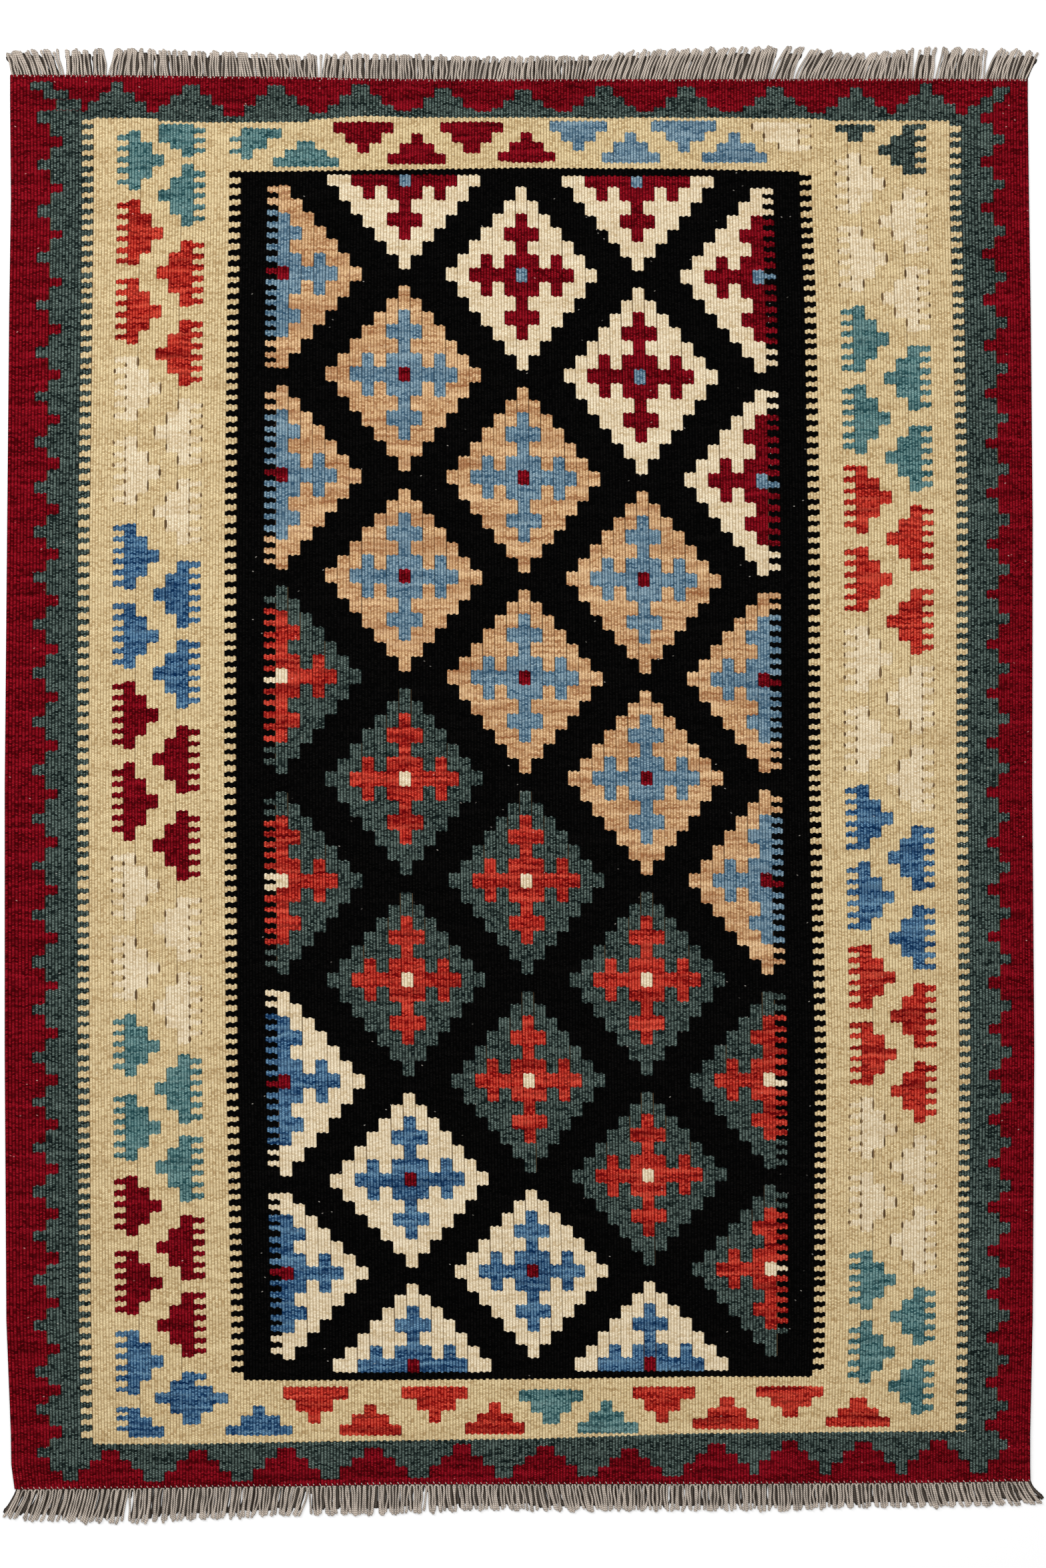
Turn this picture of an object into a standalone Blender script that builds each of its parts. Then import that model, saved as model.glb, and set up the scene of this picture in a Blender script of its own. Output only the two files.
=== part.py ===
"""Kilim rug: one flat woven cloth, and the warp fringe that stands out of each of its ends.

Length runs along Y, width along X, and the rug lies on the plane z = 0 with the middle of
its whole outline, fringes included, over the origin. Sizes are in metres.
"""
import random

import bpy
import numpy as np
from mathutils import Vector

MM = 0.001

# The woven cloth
CLOTH_WIDTH = 1.2598           # between the two widest points of the selvedges
CLOTH_LENGTH = 1.7302          # between the two furthest points of the ends
CLOTH_THICKNESS = 3.0 * MM
SELVEDGE_STATIONS = 25         # points along each long edge
END_STATIONS = 33              # points along each short edge

# The fringe, in locks that lie side by side and grow out of a narrow strip
LOCKS = 148                    # along each end
STRIP_GAP = 0.3 * MM           # between the cloth's edge and the strip
STRIP_WIDTH = 2.2 * MM
STRIP_INSET = 0.6 * MM         # how far the strip stops short of the cloth's corners
LOCK_JITTER = 0.4 * MM         # unevenness of the tips, either way
JITTER_SEED = 11

# How far each selvedge stands in from its widest point, top to bottom of the rug.
# up: distance above the middle, as a share of half the cloth's length
# left, right: millimetres
SELVEDGE_ROWS = (
    ("up", "left", "right"),
    (1.00, 6.4, 7.6),
    (0.82, 8.0, 6.2),
    (0.52, 6.2, 4.0),
    (0.22, 2.2, 1.6),
    (0.00, 0.0, 2.2),
    (-0.30, 0.8, 0.0),
    (-0.55, 0.9, 1.9),
    (-0.70, 2.4, 0.8),
    (-0.84, 5.0, 3.0),
    (-1.00, 10.4, 4.0),
)

# How far each end stands in from its furthest point, left to right.
# across: distance to the right of the middle, as a share of half the cloth's width
END_ROWS = (
    ("across", "top", "bottom"),
    (-1.00, 0.0, 0.0),
    (-0.86, 0.3, 0.6),
    (-0.50, 2.4, 3.6),
    (-0.20, 5.4, 6.2),
    (0.30, 5.6, 6.5),
    (0.75, 5.0, 7.8),
    (1.00, 5.4, 9.8),
)

# How long the locks are, millimetres, left to right.
LENGTH_ROWS = (
    ("across", "top", "bottom"),
    (-1.00, 28.0, 33.0),
    (-0.92, 32.0, 39.5),
    (-0.76, 34.0, 43.0),
    (-0.60, 32.0, 40.0),
    (-0.44, 29.0, 36.5),
    (-0.28, 32.0, 37.5),
    (-0.05, 29.0, 32.0),
    (0.10, 30.0, 33.5),
    (0.26, 38.0, 33.0),
    (0.49, 40.5, 33.5),
    (0.64, 32.0, 31.0),
    (0.80, 39.5, 30.5),
    (0.94, 37.0, 29.5),
    (1.00, 34.0, 27.0),
)

# How far a lock's tip lies to the right of its root, millimetres, left to right. The left
# and right columns differ where the fringe parts, and the locks there lean away.
TOP_LEAN_ROWS = (
    ("across", "left", "right"),
    (-1.000, -5.0, -5.0),
    (-0.960, -12.0, -12.0),
    (-0.893, -9.0, 0.0),
    (-0.838, -3.5, -1.0),
    (-0.806, -2.0, 7.5),
    (-0.740, 1.0, 1.0),
    (-0.675, -3.0, -3.0),
    (-0.580, 0.0, 0.0),
    (-0.520, -5.5, -5.5),
    (-0.387, -2.0, 4.0),
    (-0.300, -1.5, 1.5),
    (-0.200, -1.0, -1.0),
    (-0.060, 7.0, 7.0),
    (0.020, 0.5, 0.5),
    (0.090, 2.0, 2.0),
    (0.150, 12.0, 12.0),
    (0.300, 15.0, 15.0),
    (0.490, 12.0, 16.0),
    (0.665, 14.0, 14.0),
    (0.756, 6.0, 9.0),
    (0.806, 4.0, 9.0),
    (0.902, 4.0, 14.0),
    (0.970, 13.0, 13.0),
    (1.000, 14.0, 14.0),
)
BOTTOM_LEAN_ROWS = (
    ("across", "left", "right"),
    (-1.000, -20.0, -20.0),
    (-0.930, -12.0, -12.0),
    (-0.755, -8.0, -3.0),
    (-0.580, -5.0, -5.0),
    (-0.410, -3.5, 0.5),
    (-0.180, -1.0, 2.0),
    (-0.050, 2.0, 2.0),
    (0.060, 7.5, 7.5),
    (0.140, 7.0, 5.5),
    (0.200, 1.0, 1.0),
    (0.300, 0.0, 0.0),
    (0.500, 1.0, 1.0),
    (0.680, 2.0, 2.0),
    (0.780, 8.0, 8.0),
    (0.930, 9.0, 9.0),
    (1.000, 19.5, 19.5),
)

# A lock's cross-sections from root to tip, all with their underside on the floor.
# along: share of the lock's length
# lean: share of its lean
# base, crown: width at the floor and on top, millimetres
# height: millimetres
LOCK_ROWS = (
    ("along", "lean", "base", "crown", "height"),
    (0.00, 0.00, 6.2, 6.2, 3.0),
    (0.30, 0.22, 6.9, 4.8, 3.0),
    (0.70, 0.66, 6.2, 4.2, 2.6),
    (1.00, 1.00, 4.6, 2.8, 1.6),
)

CRIMSON = (0.235, 0.006, 0.016)
UNDYED_COTTON = (0.400, 0.350, 0.300)


def column(rows, name):
    """The named column of a table, as numbers."""
    place = rows[0].index(name)
    return np.array([row[place] for row in rows[1:]], dtype=float)


def eased(at, stations, values):
    """Read a smooth line through the values, level at each station."""
    place = int(np.clip(np.searchsorted(stations, at) - 1, 0, len(stations) - 2))
    span = stations[place + 1] - stations[place]
    share = min(max((at - stations[place]) / span, 0.0), 1.0)
    share = share * share * (3.0 - 2.0 * share)
    return values[place] + (values[place + 1] - values[place]) * share


def selvedge_x(side, y):
    """Where the left or the right selvedge lies at height y."""
    up = column(SELVEDGE_ROWS, "up")[::-1]
    stands_in = column(SELVEDGE_ROWS, side)[::-1] * MM
    distance = CLOTH_WIDTH / 2 - eased(y / (CLOTH_LENGTH / 2), up, stands_in)
    return distance if side == "right" else -distance


def end_y(end, x):
    """Where the top or the bottom end lies at the distance x from the middle."""
    stands_in = column(END_ROWS, end) * MM
    distance = CLOTH_LENGTH / 2 - eased(share_across(x), column(END_ROWS, "across"), stands_in)
    return distance if end == "top" else -distance


def share_across(x):
    """The distance x from the middle as a share of half the cloth's width."""
    return x / (CLOTH_WIDTH / 2)


def corner(end, side):
    """Where an end meets a selvedge."""
    sign = 1 if side == "right" else -1
    y = end_y(end, sign * CLOTH_WIDTH / 2)
    return Vector((selvedge_x(side, y), y))


def end_line(end):
    """The points of the top or the bottom edge, from left to right."""
    stations = np.linspace(corner(end, "left").x, corner(end, "right").x, END_STATIONS)
    return [(x, end_y(end, x)) for x in stations]


def selvedge_line(side):
    """The points of the left or the right edge, from the bottom up."""
    stations = np.linspace(corner("bottom", side).y, corner("top", side).y, SELVEDGE_STATIONS)
    return [(selvedge_x(side, y), y) for y in stations]


def cloth_outline():
    """The cloth's outline seen from above, anticlockwise from its bottom left corner."""
    bottom, top = end_line("bottom"), end_line("top")
    left, right = selvedge_line("left"), selvedge_line("right")
    return bottom[:-1] + right[:-1] + top[:0:-1] + left[:0:-1]


def yarn_material(name, colour, roughness):
    """A matt yarn of one colour."""
    material = bpy.data.materials.new(name)
    material.use_nodes = True
    shader = material.node_tree.nodes["Principled BSDF"]
    shader.inputs["Base Color"].default_value = (*colour, 1.0)
    shader.inputs["Roughness"].default_value = roughness
    shader.inputs["Metallic"].default_value = 0.0
    return material


def add_object(name, vertices, faces, material, parent):
    """One closed mesh object of the rug."""
    mesh = bpy.data.meshes.new(name)
    mesh.from_pydata(vertices, [], faces)
    mesh.update()
    mesh.materials.append(material)
    piece = bpy.data.objects.new(name, mesh)
    bpy.context.scene.collection.objects.link(piece)
    piece.parent = parent
    return piece


def make_cloth(parent):
    """The woven cloth: its uneven outline, as thick as the weave."""
    outline = cloth_outline()
    count = len(outline)
    vertices = [(x, y, 0.0) for x, y in outline]
    vertices += [(x, y, CLOTH_THICKNESS) for x, y in outline]
    faces = [tuple(reversed(range(count))), tuple(range(count, 2 * count))]
    for here in range(count):
        after = (here + 1) % count
        faces.append((here, after, after + count, here + count))
    material = yarn_material("woven_wool", CRIMSON, 0.9)
    return add_object("kilim_cloth", vertices, faces, material, parent)


def lean_at(end, share):
    """How far a lock's tip lies to the right of its root, in metres."""
    rows = TOP_LEAN_ROWS if end == "top" else BOTTOM_LEAN_ROWS
    across = column(rows, "across")
    place = int(np.clip(np.searchsorted(across, share) - 1, 0, len(across) - 2))
    start = column(rows, "right")[place]
    finish = column(rows, "left")[place + 1]
    part = (share - across[place]) / (across[place + 1] - across[place])
    return (start + (finish - start) * part) * MM


def lock_sections(end, left_root, right_root, draw):
    """The cross-sections of one lock, each as four corners from low left to high left."""
    outward = 1 if end == "top" else -1
    middle_x = (left_root.x + right_root.x) / 2
    share = share_across(middle_x)
    lean = lean_at(end, share) + draw.uniform(-LOCK_JITTER, LOCK_JITTER)
    length = eased(share, column(LENGTH_ROWS, "across"), column(LENGTH_ROWS, end)) * MM
    reach = length + 2 * draw.uniform(-LOCK_JITTER, LOCK_JITTER)
    root_y = (left_root.y + right_root.y) / 2
    sections = []
    names = LOCK_ROWS[0]
    for row in LOCK_ROWS[2:]:
        size = dict(zip(names, row))
        x = middle_x + lean * size["lean"]
        y = root_y + outward * reach * size["along"]
        base = size["base"] * MM / 2
        crown = size["crown"] * MM / 2
        height = size["height"] * MM
        sections.append((
            (x - base, y, 0.0),
            (x + base, y, 0.0),
            (x + crown, y, height),
            (x - crown, y, height),
        ))
    return sections


def make_fringe(end, parent):
    """The locks of one end, with their roots fused into a strip along the cloth's edge."""
    outward = 1 if end == "top" else -1
    draw = random.Random(JITTER_SEED + outward)
    first_x = corner(end, "left").x + STRIP_INSET
    last_x = corner(end, "right").x - STRIP_INSET
    pitch = (last_x - first_x) / LOCKS
    root = dict(zip(LOCK_ROWS[0], LOCK_ROWS[1]))
    half_root = root["base"] * MM / 2
    height = root["height"] * MM

    stations = [first_x]
    for lock in range(LOCKS):
        middle = first_x + (lock + 0.5) * pitch
        stations += [middle - half_root, middle + half_root]
    stations.append(last_x)

    edge_x, edge_y = zip(*end_line(end))
    vertices = []
    for x in stations:
        inner = float(np.interp(x, edge_x, edge_y)) + outward * STRIP_GAP
        outer = inner + outward * STRIP_WIDTH
        vertices += [(x, inner, 0.0), (x, outer, 0.0), (x, outer, height), (x, inner, height)]
    faces = [(0, 1, 2, 3)]
    for place in range(len(stations) - 1):
        near, far = 4 * place, 4 * (place + 1)
        for low, high in ((0, 1), (2, 3), (3, 0)):
            faces.append((near + high, near + low, far + low, far + high))
        is_root = place % 2 == 1
        if not is_root:
            faces.append((near + 2, near + 1, far + 1, far + 2))
            continue
        left_root, right_root = Vector(vertices[near + 1]), Vector(vertices[far + 1])
        ring = (near + 1, far + 1, far + 2, near + 2)
        for section in lock_sections(end, left_root, right_root, draw):
            first = len(vertices)
            vertices += section
            grown = (first, first + 1, first + 2, first + 3)
            for side in range(4):
                after = (side + 1) % 4
                faces.append((ring[side], ring[after], grown[after], grown[side]))
            ring = grown
        faces.append(ring)
    last = 4 * (len(stations) - 1)
    faces.append((last + 3, last + 2, last + 1, last))
    if end == "top":
        faces = [tuple(reversed(face)) for face in faces]
    material = yarn_material("cotton_" + end, UNDYED_COTTON, 0.95)
    return add_object("fringe_" + end, vertices, faces, material, parent)


def centre_over_origin(pieces):
    """Slide every piece so that the middle of the whole outline lies over the origin."""
    points = [point.co for piece in pieces for point in piece.data.vertices]
    for axis in (0, 1):
        low = min(point[axis] for point in points)
        high = max(point[axis] for point in points)
        middle = (low + high) / 2
        for piece in pieces:
            for point in piece.data.vertices:
                point.co[axis] -= middle
    for piece in pieces:
        piece.data.update()


def main():
    for leftover in list(bpy.data.objects):
        bpy.data.objects.remove(leftover, do_unlink=True)
    rug = bpy.data.objects.new("rug", None)
    bpy.context.scene.collection.objects.link(rug)
    pieces = [make_cloth(rug), make_fringe("top", rug), make_fringe("bottom", rug)]
    centre_over_origin(pieces)


main()
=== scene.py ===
import math

import bpy
import numpy as np
from bpy.props import FloatProperty, FloatVectorProperty, IntProperty, PointerProperty
from bpy.types import Operator, Panel, PropertyGroup
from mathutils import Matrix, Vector


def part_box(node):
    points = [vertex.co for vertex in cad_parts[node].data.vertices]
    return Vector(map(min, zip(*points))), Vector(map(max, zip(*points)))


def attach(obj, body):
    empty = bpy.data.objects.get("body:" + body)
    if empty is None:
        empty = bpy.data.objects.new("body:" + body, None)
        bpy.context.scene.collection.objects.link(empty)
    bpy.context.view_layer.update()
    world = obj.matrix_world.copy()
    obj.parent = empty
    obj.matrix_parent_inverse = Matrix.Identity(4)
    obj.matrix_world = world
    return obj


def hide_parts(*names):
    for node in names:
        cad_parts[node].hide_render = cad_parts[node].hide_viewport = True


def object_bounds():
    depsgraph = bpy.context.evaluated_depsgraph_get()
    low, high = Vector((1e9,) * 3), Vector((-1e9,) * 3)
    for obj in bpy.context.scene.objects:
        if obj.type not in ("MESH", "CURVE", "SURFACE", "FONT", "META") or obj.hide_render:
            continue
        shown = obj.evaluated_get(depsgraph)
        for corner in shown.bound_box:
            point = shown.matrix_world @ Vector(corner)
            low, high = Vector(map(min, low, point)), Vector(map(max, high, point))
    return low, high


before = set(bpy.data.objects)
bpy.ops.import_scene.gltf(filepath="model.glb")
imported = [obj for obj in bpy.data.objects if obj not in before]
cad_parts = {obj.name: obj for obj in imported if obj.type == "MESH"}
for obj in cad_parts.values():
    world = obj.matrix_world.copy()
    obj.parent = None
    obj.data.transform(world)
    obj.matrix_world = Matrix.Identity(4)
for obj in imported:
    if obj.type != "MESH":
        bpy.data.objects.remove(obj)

bl_info = {
    "name": "Kilim Rug",
    "version": (1, 0, 0),
    "blender": (4, 5, 0),
    "location": "3D View > Sidebar > Kilim Rug",
    "description": "Weaves a stepped diamond kilim rug with a plied warp fringe",
    "category": "Object",
}

MM = 0.001
CAD_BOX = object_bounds()
CLOTH_LOW, CLOTH_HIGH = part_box("kilim_cloth")
CLOTH_MIDDLE = (CLOTH_LOW + CLOTH_HIGH) / 2
CLOTH_WIDTH = CLOTH_HIGH.x - CLOTH_LOW.x
CLOTH_THICKNESS = CLOTH_HIGH.z - CLOTH_LOW.z
RUG_LOW = Vector(CAD_BOX[0])
RUG_HIGH = Vector(CAD_BOX[1])

# --- The cloth, as a weaver would note it down ---

RIBS = 342               # warps across, each a rib of packed weft
STEP = 4                 # ribs in one step of the pattern
PASS = 1.9 * MM          # between two passes of weft on one rib
CELL = 0.4               # millimetres of rib in one cell of the chart
CHART_REACH = 876.0      # millimetres from the rug's middle to either end of the chart
CELLS = int(2 * CHART_REACH / CELL)

# Where the warps run: the place across, in millimetres, of the left side of some ribs.
# The cloth draws in and lets out a little from one end to the other.
LAID_RIBS = (0, 12, 22, 47, 76, 89, 131, 171, 211, 253, 266, 302, 320, 330, 342)
LAID_ROWS = (
    ("up",) + LAID_RIBS,
    (840, -627.5, -579, -540, -449.5, -344.5, -298.5, -143, -3, 138.5, 291, 337, 472, 537, 575.5, 618),
    (716, -626.5, -578, -540, -450, -345, -299, -144, -2, 139.5, 293, 339, 473, 537, 576, 619.5),
    (586, -628.5, -580, -541, -453, -347.5, -301.5, -145, -1, 141.5, 297, 344.5, 477.5, 540.5, 579, 621.5),
    (325, -631, -583, -544.5, -455.5, -350.5, -302.5, -144.5, 1.5, 147, 301, 349, 482, 545.5, 582.5, 624),
    (-2, -634, -585, -545.5, -457.5, -351, -303, -144, 3, 152, 303.5, 350, 482.5, 545, 582.5, 623.5),
    (-329, -634, -584.5, -545, -455, -349, -300, -140, 7, 151.5, 309, 357.5, 486.5, 548.5, 585.5, 626),
    (-655, -632, -583, -543.5, -451.5, -342, -294.5, -134, 13.5, 155.5, 311.5, 356, 485.5, 545.5, 582.5, 624),
    (-794, -626.5, -579, -541, -450, -341.5, -293, -133, 13.5, 156, 311, 352.5, 481.5, 543.5, 580, 621),
    (-832, -626, -579, -541, -450, -341.5, -293, -133, 13.5, 156, 311, 352.5, 481.5, 543.5, 580, 621),
    (-860, -622, -577, -540, -450, -341.5, -293, -133, 13.5, 156, 311, 352.5, 481.5, 543.5, 580, 621.5),
)

# How far each end stands in from its furthest point, left to right.
# across: distance to the right of the middle, as a share of half the cloth's width
END_ROWS = (
    ("across", "top", "bottom"),
    (-1.0, 0, 0), (-0.86, 0.3, 0.6), (-0.5, 2.4, 3.6), (-0.2, 5.4, 6.2), (0.3, 5.6, 6.5),
    (0.75, 5, 7.8), (1.0, 5.4, 9.8),
)

# Lines that cross the cloth from side to side, in millimetres above the rug's middle
SAND_TOP = ((0, 817.5), (40, 817.5), (51, 815.5), (64, 811.5), (82, 811.5), (106, 816.5),
            (117, 820), (134, 817.5), (262, 817.5), (280, 814.5), (342, 814.5))
SAND_BOTTOM = ((0, -806.5), (57, -806.5), (100, -803.5), (171, -800), (225, -793.5),
               (303, -791), (342, -791))
FIELD_TOP = ((0, 751.5), (85, 751.5), (171, 756), (230, 754.5), (266, 751.5), (342, 751.5))
FIELD_BOTTOM = ((0, -728.5), (110, -728.5), (171, -727), (228, -724), (342, -724))
FEET_BOTTOM = ((0, -853), (75, -852), (104, -849.6), (132, -848), (161, -848), (190, -846),
               (218, -846), (246, -844), (298, -844), (325, -841))

# The level of every seventh row of the field, at its left and at its right side
FIELD_LEVELS = (
    ("left", "right"),
    (742.5, 739.5), (627.5, 622), (504.5, 499), (380, 372.5), (258, 249.5), (134, 129), (7.5, 9),
    (-117, -116.5), (-238, -238), (-362.5, -361), (-485.5, -475), (-597.5, -592), (-711, -707.5),
)

# The teeth at the two sides of the field, beside one half diamond after another: how many,
# and the level of the first, the middle and the last
FIELD_COMBS = {
    "left": ((17, 729, 616, 515), (16, 477, 376.5, 274), (15, 227, 129, 29),
             (16, -20, -118.5, -218), (16, -255, -359.5, -463), (15, -503, -596, -692)),
    "right": ((17, 728, 623, 517), (16, 478, 375.5, 267), (17, 232, 125, 24),
              (16, -17, -114, -216), (17, -259, -365, -461), (14, -502, -584.5, -668)),
}

# The combs of the sand border: first rib, yarn, and the level of every tenth tooth
SAND_COMBS = (
    (72, "black", (747.5, 612, 482, 347.5, 202, 68, -67.5, -199.5, -333.5, -470.5, -606.5)),
    (266, "black", (744, 615, 484.5, 348, 211, 78, -48, -182.5, -319, -446, -572, -698.5)),
    (22, "teal", (806.5, 677, 547, 413, 271, 130, -15, -157, -293, -429, -553, -688, -829)),
    (316, "teal", (796.5, 668, 534, 400, 262, 130, -4, -143, -275, -411, -539, -658, -800)),
)
COMB_ENDS = {"black": (-720, 752), "teal": (-794, 812)}        # their lowest and highest teeth
TOOTH = 6.8              # height of a tooth, millimetres
TOOTH_LEAN = 0.04        # millimetres that a tooth rises or falls from one rib to the next

# The level of some of the points down each side
LEFT_POINTS = (
    ("point", "level"),
    (0, 817.5), (5, 530.5), (10, 256), (15, -40.5), (20, -333.5), (25, -606.5), (27, -717.5),
    (28, -764), (29, -816.5),
)
RIGHT_POINTS = (
    ("point", "level"),
    (0, 791.5), (5, 510), (10, 203.5), (15, -100), (20, -382.5), (25, -649.5), (26, -703),
    (27, -759), (28, -807), (29, -856),
)

# The half motifs down the two borders: yarn, and the top and bottom of one or two motifs
OUTER_LEFT = (
    ("turquoise", 802, 729), ("brick", 717, 636, 622, 540), ("cream", 525, 447, 427, 343),
    ("royal_blue", 321, 240, 223, 143), ("crimson", 128, 44, 28, -67),
    ("cream", -83, -166, -184, -263), ("turquoise", -280, -357, -378, -460),
    ("crimson", -478, -552, -569, -648), ("royal_blue", -667, -746),
)
INNER_LEFT = (
    ("turquoise", 761, 684), ("brick", 668, 587, 570, 489), ("cream", 474, 391, 376, 294),
    ("royal_blue", 275, 192, 178, 94), ("crimson", 74, -10, -31, -117),
    ("cream", -137, -215, -229, -316), ("turquoise", -329, -415, -429, -510),
    ("crimson", -526, -605, -620, -701),
)
INNER_RIGHT = (
    ("cream", 774, 700, 685, 604), ("turquoise", 587, 506, 491, 406),
    ("brick", 391, 310, 292, 212), ("cream", 196, 114, 97, 15), ("royal_blue", 0, -79, -94, -178),
    ("brick", -195, -274, -289, -367), ("cream", -382, -458, -474, -547),
    ("turquoise", -569, -642, -656, -732),
)
OUTER_RIGHT = (
    ("teal", 810, 748), ("cream", 731, 651, 635, 555), ("turquoise", 538, 459, 441, 360),
    ("brick", 342, 261, 241, 159), ("cream", 147, 63, 49, -34),
    ("royal_blue", -49, -129, -147, -225), ("brick", -242, -321, -337, -413),
    ("cream", -429, -503, -516, -598), ("turquoise", -614, -685, -702, -770),
)
BORDER_COLUMNS = (
    # motifs, first rib of the body, of the second step, of the point and of the teeth
    (OUTER_LEFT, 38, 42, 46, 34),
    (INNER_LEFT, 56, 52, 48, 60),
    (INNER_RIGHT, 282, 286, 290, 278),
    (OUTER_RIGHT, 300, 296, 292, 304),
)
SECOND_SHARE = 0.60      # height of a half motif's second step, as a share of its body's
POINT_SHARE = 0.19       # height of its point
TEETH_PITCH = 13.6       # millimetres from one tooth behind it to the next
TALL_BODY = 77           # a body taller than this has six teeth behind it, others have five

# Half motifs along the ends: ribs across the flat side and the tip, the level of the flat
# side, and the height
END_MOTIFS = (
    ("yarn", "middle", "flat", "base", "tip", "level", "tall"),
    ("turquoise", 98, "low", 22, 6, 757.5, 32),
    ("crimson", 117, "high", 20, 4, 812, 38.5),
    ("crimson", 135, "low", 20, 4, 760.5, 38),
    ("crimson", 154, "high", 22, 6, 812, 38),
    ("crimson", 173, "low", 20, 4, 763.5, 35.5),
    ("sky_blue", 191, "high", 20, 4, 813, 36.5),
    ("sky_blue", 209, "low", 20, 4, 762.5, 37),
    ("sky_blue", 227, "high", 22, 4, 813, 37),
    ("sky_blue", 244, "low", 22, 4, 762.5, 36.5),
    ("royal_blue", 81, "low", 22, 4, -795.5, 35.5),
    ("brick", 99, "high", 21, 4, -737, 44.5),
    ("brick", 117, "low", 20, 4, -795.5, 37),
    ("brick", 138, "high", 22, 4, -736, 44),
    ("brick", 158, "low", 20, 4, -794, 38.5),
    ("turquoise", 177, "high", 22, 6, -740, 41.5),
    ("turquoise", 196, "low", 21, 4, -793, 40),
    ("brick", 215, "high", 21, 4, -736, 44.5),
    ("brick", 236, "low", 22, 5, -788, 39),
    ("brick", 258, "high", 24, 6, -736, 37),
    ("brick", 282, "low", 22, 6, -785.5, 35.5),
)

# Stepped points of the end bands: middle rib, level of the tip, and its half width in ribs
TOP_POINTS = ((34, 861, 2), (59, 858, 3), (88, 857, 3), (116, 857, 3), (144, 853, 3),
              (172, 852, 3), (200, 856, 3), (228, 854, 3), (258, 855, 3), (285, 854, 2),
              (308, 858, 2))
BOTTOM_POINTS = ((32, -814, 3), (61, -815, 3), (90, -812, 3), (118, -811, 3), (147, -808, 3),
                 (175, -809, 3), (204, -811, 3), (233, -806, 3), (258, -802, 3), (284, -804, 3),
                 (310, -802, 3))
POINT_STEPS = ((0, 0), (4, 12), (8, 24))               # ribs wider on each side, below the tip

# What fills the corners: yarn, first rib, rib after the last, top, bottom
CORNER_BLOCKS = (
    ("crimson", 0, 22, 900, 827), ("teal", 6, 13, 861.5, 851), ("teal", 10, 18, 851, 840),
    ("teal", 14, 22, 840, 826), ("crimson", 22, 24, 900, 827), ("crimson", 6, 12, 826, 826),
    ("crimson", 320, 342, 900, 820), ("teal", 322, 326, 832, 820), ("teal", 326, 330, 843, 823),
    ("teal", 330, 334, 855, 836), ("teal", 334, 336, 855, 847), ("crimson", 326, 342, 822, 810),
    ("crimson", 0, 12, -823, -900), ("crimson", 12, 16, -840, -900),
    ("crimson", 15, 26, -852, -900), ("crimson", 21, 26, -840, -900),
    ("crimson", 326, 342, -790, -900), ("teal", 320, 331, -790, -825),
    ("teal", 330, 334, -801, -814), ("teal", 318, 331, -800, -826),
    ("crimson", 322, 342, -842, -900), ("crimson", 327, 342, -825, -900),
    ("crimson", 331, 342, -814, -900), ("teal", 321, 327, -815, -842),
)

# The motifs that are cut short at the corners of the borders: yarn, blocks (first rib, rib
# after the last, top, bottom), and the first rib, lean, height and levels of the teeth
CORNER_MOTIFS = (
    ("turquoise", ((48, 60, 809.5, 787.5), (52, 60, 799.5, 778.5), (56, 60, 787.5, 769.5)),
     60, -0.04, 6.2, (802, 789, 777)),
    ("turquoise", ((76, 90, 804.5, 791.5), (76, 85, 804.5, 779.5), (76, 80, 804.5, 767)),
     72, 0.04, 6.2, (791, 776)),
    ("cream", ((250, 266, 812, 801), (254, 266, 812, 788), (259, 266, 812, 776)),
     266, -0.04, 6, (806.5, 794, 781.5)),
    ("teal", ((278, 291, 809.5, 799.5), (282, 287, 809.5, 788)), 0, 0, 0, ()),
    ("royal_blue", ((38, 42, -762.5, -797.5), (38, 46, -773.5, -797.5), (38, 50, -786, -797.5)),
     34, 0.04, 5.6, (-764.5, -774.5, -787)),
    ("royal_blue", ((56, 60, -717.5, -783), (60, 62, -734.5, -783), (52, 60, -729, -769),
                    (60, 66, -735, -767), (47, 71, -744.5, -757)), 60, -0.04, 5.8, (-724,)),
)

# --- The fringe ---

# How long the cords are, millimetres, left to right
LENGTH_ROWS = (
    ("across", "top", "bottom"),
    (-1.0, 28, 33), (-0.92, 32, 39.5), (-0.76, 34, 43), (-0.6, 32, 40), (-0.44, 29, 36.5),
    (-0.28, 32, 37.5), (-0.05, 29, 32), (0.1, 30, 33.5), (0.26, 38, 33), (0.49, 40.5, 33.5),
    (0.64, 32, 31), (0.8, 39.5, 30.5), (0.94, 37, 29.5), (1.0, 34, 27),
)

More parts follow.
